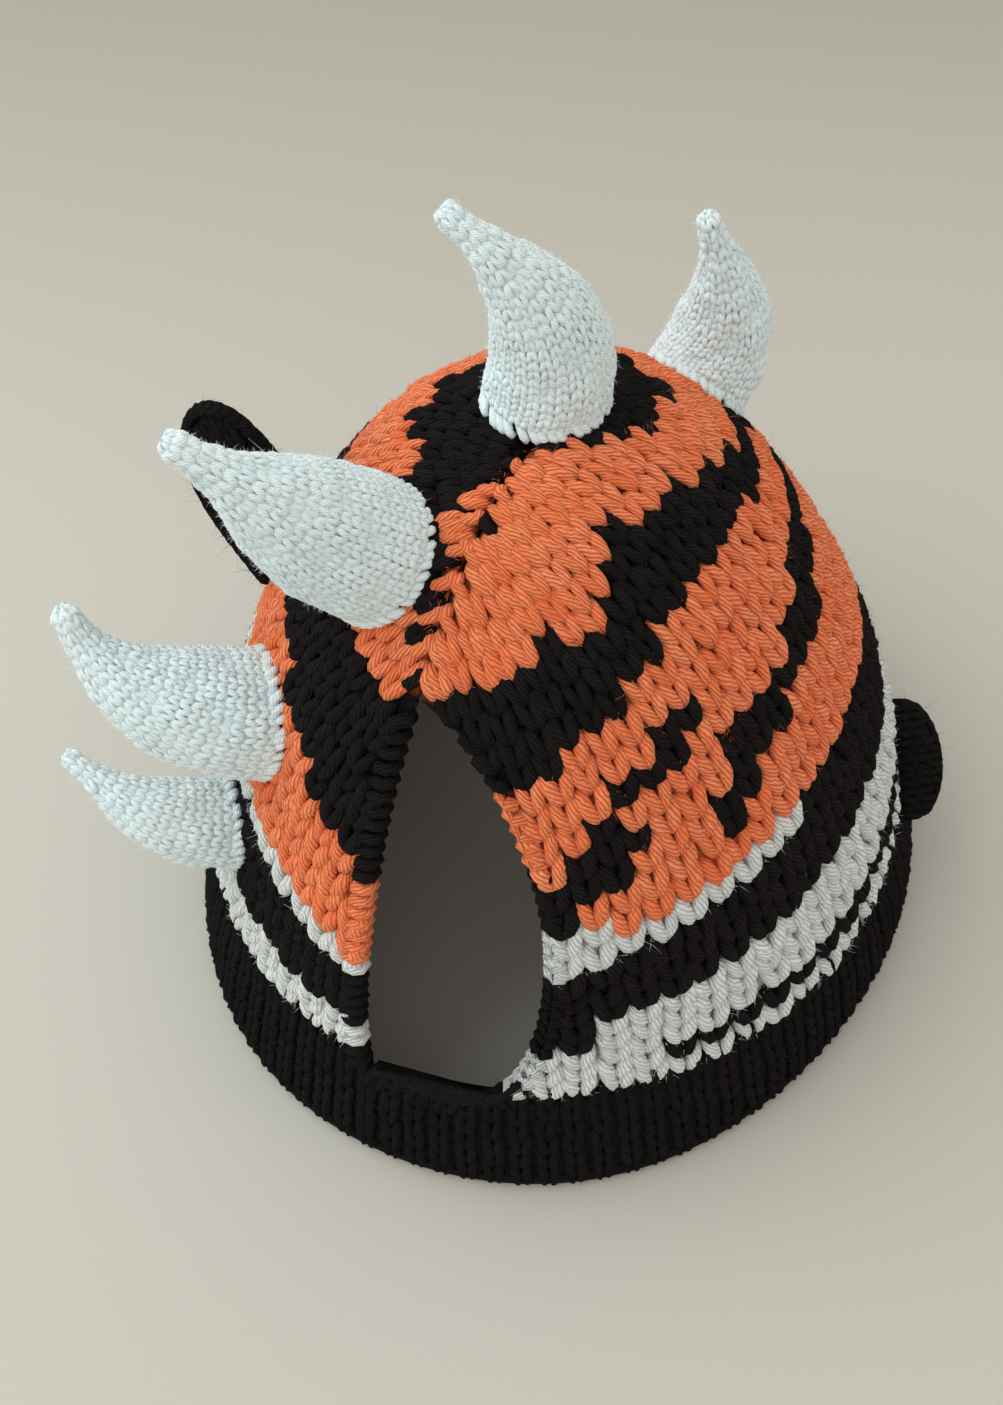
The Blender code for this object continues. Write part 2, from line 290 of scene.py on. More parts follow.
@dataclass(frozen=True)
class Fabric:
    """How one half panel's rows and columns of stitches lie on the dome.

    A column is counted from the panel's middle, towards the handle slot below zero and towards the spout
    slot above it. A row is counted from the top of the rib. Both may be fractions.
    """

    dome: Dome
    side: int
    first_height: float = 0.0355
    first_pitch: float = 0.0077
    pitch_loss: float = 0.000082
    least_width: float = 0.0053
    spare_width: float = 0.0026
    spare_at: float = 0.126
    spare_power: float = 2.47
    sag_heights: tuple[float, ...] = (0.000, 0.036, 0.072, 0.090, 0.137, 0.171, 0.173)
    sags: tuple[float, ...] = (-0.006, -0.014, 0.030, 0.029, 0.022, 0.012, 0.008)

    def row_length(self, row: Array) -> Array:
        """Skin length at the panel's middle of a row's foot."""
        start = self.dome.length_at(self.first_height)
        return start + self.first_pitch * row - 0.5 * self.pitch_loss * row * row

    def width_at(self, quarter: Array) -> Array:
        """Width of a stitch where the quarter ring has a length."""
        return self.least_width + self.spare_width * (quarter / self.spare_at) ** self.spare_power

    def sag_at(self, length: Array) -> Array:
        """How far a row hangs down at the seam, against the panel's middle."""
        knots = self.dome.length_at(np.array(self.sag_heights))
        return np.interp(length, knots, np.array(self.sags))

    def share(self, column: Array, length: Array) -> Array:
        """How far towards the seam a column lies at a skin length, from -1 to 1."""
        quarter = np.maximum(self.dome.quarter_at(length), 1e-5)
        return column * self.width_at(quarter) / quarter

    def place(self, row: Array, column: Array) -> tuple[Array, Array]:
        """Find where rows and columns meet.

        Args:
            row: Rows above the rib's top.
            column: Columns from the panel's middle.

        Returns:
            The share of the way to the seam, and the skin length from the floor.
        """
        row, column = np.broadcast_arrays(np.asarray(row, float), np.asarray(column, float))
        target = self.row_length(row)
        low = np.zeros(target.shape)
        high = np.full(target.shape, self.dome.crown_length)
        for _ in range(30):
            middle = 0.5 * (low + high)
            over = middle + self.sag_at(middle) * self.share(column, middle) ** 2 > target
            high = np.where(over, middle, high)
            low = np.where(over, low, middle)
        return self.share(column, low), low

    def bearing(self, share: Array) -> Array:
        """Bearing of a share of the way from the panel's middle to its seam."""
        middle = 0.0 if self.side > 0 else math.pi
        return middle + self.side * 0.5 * math.pi * share

    def chart_place(self, share: Array, length: Array) -> tuple[Array, Array]:
        """Row and column at a share of the way to the seam and a skin length.

        Args:
            share: Shares of the way from the panel's middle to its seam.
            length: Skin lengths from the floor.

        Returns:
            The rows above the rib's top and the columns from the panel's middle.
        """
        quarter = np.maximum(self.dome.quarter_at(length), 1e-5)
        column = share * quarter / self.width_at(quarter)
        climb = length + self.sag_at(length) * share**2 - self.dome.length_at(self.first_height)
        root = np.sqrt(np.maximum(self.first_pitch**2 - 2.0 * self.pitch_loss * climb, 0.0))
        return (self.first_pitch - root) / self.pitch_loss, column


@dataclass(frozen=True)
class Twist:
    """How a yarn's strands wind round each other."""

    plies: int = 3
    relief: float = 0.09
    turn: float = 5.0 * MM


PLIED = Twist()
FINE_PLIED = Twist(plies=2, relief=0.05, turn=2.2 * MM)
SINGLE = Twist(plies=1, relief=0.0, turn=4.0 * MM)


class NodeBench:
    """A material's node tree, with short calls that add to it."""

    def __init__(self, name: str) -> None:
        """Start a material that holds only its surface shader and output.

        Args:
            name: The material's name.
        """
        self.material = bpy.data.materials.new(name)
        self.material.use_nodes = True
        self.tree = self.material.node_tree
        self.surface = self.tree.nodes["Principled BSDF"]

    def add(self, kind: str, **settings: object) -> bpy.types.Node:
        """Add a node and set its properties.

        Args:
            kind: The node's type.
            settings: Its properties, by their names.

        Returns:
            The node.
        """
        node = self.tree.nodes.new(kind)
        for name, value in settings.items():
            setattr(node, name, value)
        return node

    def join(self, source: Socket, target: Socket) -> None:
        """Link an output to an input."""
        self.tree.links.new(source, target)

    def sums(self, operation: str, *values: object) -> Socket:
        """Add a Math node.

        Args:
            operation: The Math node's operation.
            values: Sockets to link, or numbers to set, in the inputs' order.

        Returns:
            The result's socket.
        """
        node = self.add("ShaderNodeMath", operation=operation)
        for place, value in zip(node.inputs, values):
            if isinstance(value, Socket):
                self.join(value, place)
            else:
                place.default_value = value
        return node.outputs[0]

    def scaled(self, vector: Socket, scale: Triple) -> Socket:
        """Multiply a vector by three numbers.

        Args:
            vector: The vector's socket.
            scale: The three numbers.

        Returns:
            The product's socket.
        """
        node = self.add("ShaderNodeVectorMath", operation="MULTIPLY")
        self.join(vector, node.inputs[0])
        node.inputs[1].default_value = scale
        return node.outputs[0]

    def position(self) -> Socket:
        """Add the surface's place in the scene."""
        return self.add("ShaderNodeNewGeometry").outputs["Position"]

    def tint(self) -> Socket:
        """Add the mesh's own tint."""
        return self.add("ShaderNodeAttribute", attribute_name="tint").outputs["Fac"]

    def noise(self, vector: Socket, scale: float, detail: float) -> Socket:
        """Add soft noise and return its value.

        Args:
            vector: The place that the noise is read at.
            scale: How fine it is.
            detail: How many finer layers it has.

        Returns:
            The socket of its value, from 0 to 1.
        """
        node = self.add("ShaderNodeTexNoise")
        self.join(vector, node.inputs["Vector"])
        node.inputs["Scale"].default_value = scale
        node.inputs["Detail"].default_value = detail
        return node.outputs["Fac"]

    def blend(self, share: Socket, first: object, second: object) -> Socket:
        """Mix two colours, each a socket or a triple, by a share.

        Args:
            share: How much there is of the second colour.
            first: The first colour.
            second: The second colour.

        Returns:
            The mixed colour's socket.
        """
        node = self.add("ShaderNodeMix", data_type="RGBA")
        self.join(share, node.inputs["Factor"])
        for place, value in ((node.inputs[6], first), (node.inputs[7], second)):
            if isinstance(value, Socket):
                self.join(value, place)
            else:
                place.default_value = (*value, 1.0)
        return node.outputs[2]

    def coat(self, colour: Socket) -> None:
        """Give the surface its colour."""
        self.join(colour, self.surface.inputs["Base Color"])

    def bump(self, height: Socket, distance: float, strength: float) -> None:
        """Raise the surface by a height from 0 to 1 times a distance.

        Args:
            height: The height's socket.
            distance: How far a height of 1 raises the surface.
            strength: How strongly it shows.
        """
        node = self.add("ShaderNodeBump")
        node.inputs["Distance"].default_value = distance
        node.inputs["Strength"].default_value = strength
        self.join(height, node.inputs["Height"])
        self.join(node.outputs["Normal"], self.surface.inputs["Normal"])

    def fix(self, **values: object) -> None:
        """Set numbers or colours on the shader's own sockets, their names written with underscores."""
        for name, value in values.items():
            self.surface.inputs[name.replace("_", " ")].default_value = value


@dataclass(frozen=True)
class Finish:
    """A finish, whose material is made once and shared by every piece that has it."""

    name: str

    def material(self) -> bpy.types.Material:
        """Make the finish's material, or return the one already made.

        Returns:
            The material.
        """
        made = bpy.data.materials.get(self.name)
        if made:
            return made
        bench = NodeBench(self.name)
        self.lay_out(bench)
        return bench.material

    def lay_out(self, bench: NodeBench) -> None:
        """Add the finish's nodes to a new material."""
        raise NotImplementedError(self.name)


@dataclass(frozen=True)
class YarnFinish(Finish):
    """Spun yarn: plied strands, loose fibres and a soft sheen, with painted shade in the grooves between the
    strands and painted highlights on their crests.
    """

    colour: Triple
    # painted shade: the colour between the strands and between the fibres
    painted_groove_shade: Triple
    # painted highlight: the colour that the crests pale to, also the sheen's tint
    pale: Triple
    sheen: float = 0.35
    roughness: float = 0.78
    specular: float = 0.25
    ridge: float = 0.55
    coarseness: float = 1.0
    finer: float = 3.0
    wander: float = 3.4
    depth: float = 0.62
    strand_height: float = 0.75
    fibre_height: float = 0.6

    def lay_out(self, bench: NodeBench) -> None:
        """Wind the strands, strew the fibres, paint shade into the grooves and paint highlights on the
        crests.

        Args:
            bench: The new material's nodes.
        """
        winding = bench.add("ShaderNodeUVMap", uv_map="winding").outputs["UV"]
        parts = bench.add("ShaderNodeSeparateXYZ")
        bench.join(winding, parts.inputs[0])
        place = bench.position()
        stray = bench.sums("MULTIPLY", bench.noise(place, scale=520.0, detail=1.0), self.wander)
        turns = bench.sums("MULTIPLY_ADD", parts.outputs[1], math.pi * self.finer, stray)
        strand = bench.sums("ABSOLUTE", bench.sums("COSINE", turns))
        drawn_out = bench.scaled(winding, (0.50 / self.coarseness, 18.0, 1.0))
        fibres = bench.noise(drawn_out, scale=1.0, detail=4.0)
        cloud = bench.noise(place, scale=190.0, detail=2.0)
        tint = bench.tint()
        # painted shade: the colour falls towards the groove colour between the strands and the fibres
        depth = bench.sums("MULTIPLY_ADD", strand, self.depth, bench.sums("MULTIPLY", fibres, self.depth))
        body = bench.blend(bench.sums("MINIMUM", depth, 1.0), self.painted_groove_shade, self.colour)
        # painted highlight: the crests pale, more where the cloud and the stitch's tint are high
        light = bench.sums("MULTIPLY_ADD", cloud, 0.9, bench.sums("SUBTRACT", tint, 0.3))
        crest = bench.sums("MULTIPLY", light, bench.sums("MULTIPLY", strand, strand))
        bench.coat(bench.blend(crest, body, self.pale))
        fuzz = bench.sums("MULTIPLY", fibres, self.fibre_height)
        height = bench.sums("MULTIPLY_ADD", strand, self.strand_height, fuzz)
        bench.bump(height, self.ridge * MM * self.coarseness, 1.0)
        bench.fix(
            Roughness=self.roughness,
            Specular_IOR_Level=self.specular,
            Sheen_Weight=self.sheen,
            Sheen_Roughness=0.5,
            Sheen_Tint=(*self.pale, 1.0),
        )


@dataclass(frozen=True)
class HairFinish(Finish):
    """The loose fibres that stand off a yarn."""

    colour: Triple
    tipped: Triple

    def lay_out(self, bench: NodeBench) -> None:
        """Vary the fibres between two colours."""
        bench.coat(bench.blend(bench.tint(), self.colour, self.tipped))
        bench.fix(Roughness=0.9, Specular_IOR_Level=0.06, Sheen_Weight=0.06)


@dataclass(frozen=True)
class GroundFinish(Finish):
    """The cloth between the stitches: the same yarns seen in their shade."""

    # painted shade: the share of the yarn colours that the cloth keeps
    shade: float = 0.42

    def lay_out(self, bench: NodeBench) -> None:
        """Dim the mesh's own colours as painted shade, deeper between the fibres than on them.

        Args:
            bench: The new material's nodes.
        """
        colour = bench.add("ShaderNodeAttribute", attribute_name="yarn").outputs["Color"]
        fibres = bench.noise(bench.scaled(bench.position(), (1.0, 1.0, 0.4)), scale=900.0, detail=3.0)
        dim = bench.add("ShaderNodeVectorMath", operation="SCALE")
        bench.join(colour, dim.inputs[0])
        bench.join(bench.sums("MULTIPLY_ADD", fibres, self.shade, 0.4 * self.shade), dim.inputs["Scale"])
        bench.coat(dim.outputs[0])
        bench.bump(fibres, 0.5 * MM, 0.8)
        bench.fix(Roughness=0.9, Specular_IOR_Level=0.15)


@dataclass(frozen=True)
class FloorFinish(Finish):
    """A pale matt backdrop card, with painted shade that deepens behind the cosy."""

    name: str = "pale_card"
    colour: Triple = (0.530, 0.505, 0.440)
    fleck: Triple = (0.500, 0.475, 0.412)
    # painted shade: the colour that the card takes far behind the cosy
    away: Triple = (0.325, 0.298, 0.240)
    backwards: Triple = (-0.46, 0.89, 0.0)
    start: float = 0.08
    reach: float = 0.38
    softness: float = 0.4

    def lay_out(self, bench: NodeBench) -> None:
        """Fleck the card, and paint shade on it that deepens softly behind the cosy.

        Args:
            bench: The new material's nodes.
        """
        place = bench.position()
        grain = bench.noise(place, scale=900.0, detail=4.0)
        dot = bench.add("ShaderNodeVectorMath", operation="DOT_PRODUCT")
        bench.join(place, dot.inputs[0])
        dot.inputs[1].default_value = self.backwards
        # painted shade: its share grows with the distance behind the cosy
        far = bench.sums("MULTIPLY_ADD", dot.outputs["Value"], 1.0 / self.reach, -self.start / self.reach)
        far = bench.sums("SMOOTH_MAX", far, 0.0, self.softness)
        far = bench.sums("SMOOTH_MIN", far, 1.0, self.softness)
        near = bench.blend(grain, self.colour, self.fleck)
        bench.coat(bench.blend(far, near, self.away))
        bench.bump(grain, 0.08 * MM, 0.5)
        bench.fix(Roughness=0.9, Specular_IOR_Level=0.1)


# Each yarn: its own colour, the painted shade in its grooves, the painted highlight on its crests.
ORANGE_YARN = YarnFinish("orange_yarn", (1.0, 0.200, 0.056), (0.64, 0.068, 0.016), (1.0, 0.43, 0.22))
BLACK_YARN = YarnFinish(
    "black_yarn", (0.0105, 0.0085, 0.0085), (0.007, 0.0058, 0.0058), (0.021, 0.017, 0.017),
    sheen=0.0, roughness=1.0, specular=0.05, ridge=0.35,
)
WHITE_YARN = YarnFinish("white_yarn", (0.74, 0.77, 0.73), (0.46, 0.48, 0.46), (0.90, 0.93, 0.90))
HORN_YARN = YarnFinish(
    "horn_yarn", (0.77, 0.89, 0.89), (0.71, 0.82, 0.82), (0.88, 0.96, 0.96),
    sheen=0.5, roughness=0.75, specular=0.25, ridge=0.25, coarseness=0.6,
)
ORANGE_HAIR = HairFinish("orange_fibres", (0.80, 0.15, 0.05), (0.95, 0.35, 0.18))
BLACK_HAIR = HairFinish("black_fibres", (0.012, 0.010, 0.010), (0.024, 0.020, 0.019))
WHITE_HAIR = HairFinish("white_fibres", (0.80, 0.84, 0.82), (0.95, 0.97, 0.95))
GROUND = GroundFinish("ground_of_the_cloth")
YARN_FINISHES = {Yarn.ORANGE: ORANGE_YARN, Yarn.BLACK: BLACK_YARN, Yarn.WHITE: WHITE_YARN}
HAIR_FINISHES = {Yarn.ORANGE: ORANGE_HAIR, Yarn.BLACK: BLACK_HAIR, Yarn.WHITE: WHITE_HAIR}


def make_mesh(
    name: str,
    points: Array,
    polygons: list[Array],
    material: bpy.types.Material,
    tint: Array | None = None,
    winding: Array | None = None,
    colour: Array | None = None,
) -> bpy.types.Object:
    """Make a smooth mesh object from arrays, and report it.

    Args:
        name: The piece's name.
        points: One row for each vertex.
        polygons: Arrays of faces, each array with one number of corners.
        material: The surface's material.
        tint: A shade for each vertex.
        winding: A pair for each vertex, the length along its yarn in millimetres and its strand's phase.
        colour: A colour for each vertex.

    Returns:
        The new object, linked to the scene.
    """
    mesh = bpy.data.meshes.new(name)
    corners = np.concatenate([faces.ravel() for faces in polygons]).astype(np.int32)
    sizes = np.concatenate([np.full(len(faces), faces.shape[1]) for faces in polygons])
    starts = np.concatenate([[0], np.cumsum(sizes)[:-1]]).astype(np.int32)
    mesh.vertices.add(len(points))
    mesh.vertices.foreach_set("co", points.astype(np.float32).ravel())
    mesh.loops.add(len(corners))
    mesh.loops.foreach_set("vertex_index", corners)
    mesh.polygons.add(len(starts))
    mesh.polygons.foreach_set("loop_start", starts)
    mesh.update(calc_edges=True)
    mesh.shade_smooth()
    if winding is not None:
        layer = mesh.uv_layers.new(name="winding")
        layer.data.foreach_set("uv", winding[corners].astype(np.float32).ravel())
    if tint is not None:
        shade = mesh.attributes.new("tint", "FLOAT", "POINT")
        shade.data.foreach_set("value", tint.astype(np.float32))
    if colour is not None:
        layer = mesh.attributes.new("yarn", "FLOAT_COLOR", "POINT")
        full = np.concatenate([colour, np.ones((len(colour), 1))], axis=1)
        layer.data.foreach_set("color", full.astype(np.float32).ravel())
    mesh.materials.append(material)
    piece = bpy.data.objects.new(name, mesh)
    bpy.context.scene.collection.objects.link(piece)
    LOG.info("%s: %d faces", name, len(starts))
    return piece


@dataclass
class YarnWork:
    """Closed lengths of yarn, gathered into one mesh."""

    name: str
    sides: int = 8
    twist: Twist = PLIED
    arc: float = math.radians(250.0)
    seed: int = 5
    parts: list[tuple[Array, ...]] = field(default_factory=list)
    count: int = 0

    def lay(self, path: Array, outward: Array, radius: Array | float, tint: Array | float) -> None:
        """Add lengths of yarn that share one number of steps.

        Args:
            path: Centres, by length of yarn and step.
            outward: Directions away from the cloth, in the same order, or fewer where they repeat.
            radius: The yarn's radius at each step, or one for all.
            tint: A shade for each length of yarn, or one for all.
        """
        if not len(path):
            return
        number, steps, _ = path.shape
        radius = np.broadcast_to(radius, (number, steps))
        tint = np.broadcast_to(tint, number)
        along = unit(np.gradient(path, axis=1))
        out = unit(outward - np.sum(outward * along, axis=-1, keepdims=True) * along)
        side = np.cross(along, out)
        run = np.cumsum(np.linalg.norm(np.diff(path, axis=1), axis=-1), axis=1)
        rng = np.random.default_rng(self.seed + self.count)
        start = rng.uniform(0.0, 10.0 * self.twist.turn, (number, 1))
        run = start + np.concatenate([np.zeros((number, 1)), run], axis=1)
        whole = self.arc > 1.99 * math.pi
        angle = self.arc * (np.arange(self.sides) / (self.sides - (not whole)) - 0.5)
        phase = self.twist.plies * angle / math.tau + run[..., None] / self.twist.turn
        girth = radius[..., None] * (1.0 + self.twist.relief * np.cos(math.tau * phase))
        away = spokes(angle, out[:, :, None, :], side[:, :, None, :])
        points = (path[:, :, None, :] + girth[..., None] * away).reshape(-1, 3)
        lengths = np.broadcast_to(run[..., None] / MM, phase.shape)
        winding = np.stack([lengths, phase], axis=-1).reshape(-1, 2)
        shades = np.repeat(tint, steps * self.sides)
        first = self.count + np.arange(number) * steps * self.sides
        quads = (first[:, None, None] + wall_faces(steps, self.sides)).reshape(-1, 4)
        ends = np.arange(self.sides)
        final = (steps - 1) * self.sides + ends
        caps = np.concatenate([first[:, None] + ends[::-1], first[:, None] + final])
        self.parts.append((points, quads, caps, winding, shades))
        self.count += len(points)

    def build(self, material: bpy.types.Material, slot: str) -> bpy.types.Object | None:
        """Make the mesh and ride it on the cosy.

        Args:
            material: The yarn's material.
            slot: A material slot's name; it is not used.

        Returns:
            The piece, or nothing where no yarn was laid.
        """
        if not self.parts:
            return None
        points, quads, caps, winding, shades = (np.concatenate(group) for group in zip(*self.parts))
        piece = make_mesh(self.name, points, [quads, caps], material, shades, winding)
        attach(piece, "root")
        return piece


@dataclass(frozen=True)
class Leg:
    """The route of one leg of a knit stitch, in parts of its column's width and its row's pitch."""

    foot: float = 0.08
    head: float = 0.37
    low: float = -0.28
    high: float = 1.10
    foot_dip: float = 1.1 * MM
    head_dip: float = 1.7 * MM
    thin_end: float = 0.66
    bend: float = 0.38

    def route(self, steps: int) -> tuple[Array, Array, Array, Array]:
        """Follow the leg from its foot to its head.

        Args:
            steps: How many points to give.

        Returns:
            How far aside, how far up, how deep below the leg's crest, and the share of the full girth.
        """
        t = np.linspace(0.0, 1.0, steps)
        aside = self.foot + (self.head - self.foot) * (0.55 * np.sin(0.5 * math.pi * t) + 0.45 * t)
        up = self.low + (self.high - self.low) * t
        sinking = np.clip(1.0 - t / self.bend, 0.0, 1.0) ** 2
        diving = np.clip((t - (1.0 - self.bend)) / self.bend, 0.0, 1.0) ** 2
        deep = self.foot_dip * sinking + self.head_dip * diving
        girth = 1.0 - (1.0 - self.thin_end) * (2.0 * np.abs(t - 0.5)) ** 3
        return aside, up, deep, girth


@dataclass(frozen=True)
class Stripe:
    """A patch of one yarn, its lowest and highest row given at a few columns and straight between them.

    A knot is a column with its lowest and highest row. One without a highest row reaches up to the crown.
    """

    yarn: Yarn
    knots: tuple[tuple[float, ...], ...]

    def covers(self, row: Array, column: Array) -> Array:
        """Whether the patch covers places of the chart.

        Args:
            row: Rows above the rib's top.
            column: Columns from the panel's middle.

        Returns:
            True for each place that it covers.
        """
        columns, lows, highs = np.array([(*knot, TOP)[:3] for knot in self.knots]).T
        inside = (column >= columns[0]) & (column <= columns[-1])
        above = row >= np.interp(column, columns, lows)
        return inside & above & (row < np.interp(column, columns, highs))


BANDS = (
    Stripe(Yarn.WHITE, ((-20, 0, 5.0), (20, 0, 5.0))),
    Stripe(Yarn.BLACK, ((-7, 1, 2), (20, 1, 2))),
    Stripe(Yarn.BLACK, ((-20, 3, 5), (-9.3, 3, 5))),
    Stripe(Yarn.BLACK, ((-20, 5, 7.9), (-1.8, 5, 7.9), (-1.7, 5, 9.2), (20, 5, 9.2))),
    Stripe(Yarn.WHITE, ((-20, 7.9, 9.0), (-1.8, 7.9, 9.0))),
)
RIGHT_STRIPES = (
    *BANDS,
    Stripe(Yarn.WHITE, ((-12, 9, 10), (-8.5, 9, 10))),
    Stripe(Yarn.BLACK, (
        (-20, 16.0, 20.1), (-10, 15.9, 19.9), (-8.4, 16.4, 20.0), (-7, 16.8, 20.6), (-5, 18.1, 20.4),
        (-4, 18.3, 21.5), (-2, 19.0, 22.6), (0, 18.6, 22.2), (1.5, 18.8, 21.5), (3, 18.6, 20.7),
        (5, 17.7, 19.6), (7.4, 17.6, 19.1), (12, 17.2, 20.0), (20, 16.4, 19.2),
    )),
    Stripe(Yarn.BLACK, (
        (-1.6, 27.9), (-0.9, 27.6), (-0.1, 26.3), (0.3, 25.2), (1.1, 24.6),
        (2, 24.0), (3.1, 23.1), (4.2, 22.6), (7, 22.4), (8.5, 23.0), (20, 23.2),
    )),
    Stripe(Yarn.BLACK, ((-6.4, 25.0, 25.9), (-5.6, 25.0, 25.9))),
    Stripe(Yarn.BLACK, (
        (-20, 10.0, 12.8), (-10.4, 10.0, 12.6), (-9.4, 10.5, 12.2), (-8.9, 10.6, 13.2), (-8.3, 10.6, 13.9),
        (-7.6, 10.9, 13.9), (-7.0, 11.9, 13.4),
    )),
    Stripe(Yarn.BLACK, (
        (-7.2, 14.6, 15.1), (-6.6, 13.9, 15.3), (-5.6, 13.6, 15.1), (-5.1, 14.3, 15.4), (-4.5, 14.6, 16.5),
        (-3.4, 15.6, 16.5),
    )),
    Stripe(Yarn.BLACK, (
        (-4.9, 10.2, 11.3), (-4.2, 10.0, 12.0), (-3.3, 10.2, 12.6), (-3.0, 11.0, 13.9), (-2.0, 11.8, 13.9),
        (-1.5, 12.2, 13.7), (0.3, 12.6, 14.4), (2.0, 13.1, 15.3), (4.1, 13.9, 16.2), (6.3, 14.8, 16.4),
        (8, 14.8, 16.2), (13, 14.0, 15.4), (20, 13.0, 14.2),
    )),
)
LEFT_STRIPES = (
    *BANDS,
    Stripe(Yarn.BLACK, (
        (-20, 12.8, 19.3), (-12.1, 12.6, 19.3), (-11.6, 13.4, 19.3), (-10, 14.3, 19.2), (-5.5, 15.0, 19.3),
        (-3.5, 15.3, 19.2), (-3, 14.4, 17.2), (0, 14.2, 16.6), (4, 14.6, 17.4), (8, 14.2, 17.4),
        (12, 13.0, 16.0), (20, 11.0, 14.0),
    )),
    Stripe(Yarn.BLACK, ((0.5, 11.6, 12.0), (3, 11.4, 12.8), (7, 10.6, 12.2), (10, 10.0, 11.2))),
    Stripe(Yarn.BLACK, (
        (-20, 19.2), (-12.3, 19.2), (-12.2, 20.9), (-10.7, 20.8), (-10.3, 21.6),
        (-8.2, 21.9), (-7.4, 21.2), (-7.2, 19.2), (-3.1, 19.2), (-3.0, 22.6),
        (-2, 22.6), (-1.2, 22.0), (-0.4, 21.1), (0.5, 22.0), (1.4, 21.2),
        (2, 20.6), (2.6, 21.9), (5, 22.6), (20, 22.8),
    )),
    Stripe(Yarn.ORANGE, (
        (-12.8, 20.2), (-11.5, 21.4), (-10.5, 22.2), (-9.2, 23.2), (-7.5, 24.0),
        (-5.3, 24.7), (-4.4, 25.1), (-3.7, 26.0), (-2.7, 26.8),
    )),
)


@dataclass(frozen=True)
class Chart:
    """The colour pattern of a half panel."""

    stripes: tuple[Stripe, ...]
    plain: Yarn = Yarn.ORANGE

    def masks(self, row: Array, column: Array) -> dict[Yarn, Array]:
        """Tell which yarn each place is knitted in.

        Args:
            row: Rows above the rib's top.
            column: Columns from the panel's middle.

        Returns:
            For each yarn, whether each place has it.
        """
        row, column = np.broadcast_arrays(row, column)
        chosen = np.full(row.shape, self.plain, dtype=object)
        for stripe in self.stripes:
            chosen[stripe.covers(row, column)] = stripe.yarn
        return {yarn: chosen == yarn for yarn in Yarn}

    def masks_and_rib(self, row: Array, column: Array) -> dict[Yarn, Array]:
        """Tell which yarn each place is knitted in, the black rib below the first row among them.

        Args:
            row: Rows above the rib's top.
            column: Columns from the panel's middle.

        Returns:
            For each yarn, whether each place has it.
        """
        masks = self.masks(row, column)
        rib = row <= 0.0
        return {yarn: mask | rib if yarn == Yarn.BLACK else mask & ~rib for yarn, mask in masks.items()}


@dataclass(frozen=True)
class Slot:
    """An opening in the seam that the teapot's handle or spout comes through."""

    spread: float
    foot: int
    low: float = 0.036
    high: float = 0.143
    bluntness: float = 0.45
    foot_columns: int = 22

    def angle(self, z: Array) -> Array:
        """How far the slot's edge stands aside from the seam at a height, as an angle round the dome.

        Args:
            z: Heights above the floor.

        Returns:
            The angles, zero above and below the slot.
        """
        share = np.clip((z - self.low) / (self.high - self.low), 0.0, 1.0)
        bow = (4.0 * share * (1.0 - share)) ** self.bluntness
        start = np.where(share < 0.5, math.pi * self.foot / self.foot_columns, 0.0)
        inside = (share > 0.0) & (share < 1.0)
        return np.where(inside, start + (math.radians(self.spread) - start) * bow, 0.0)


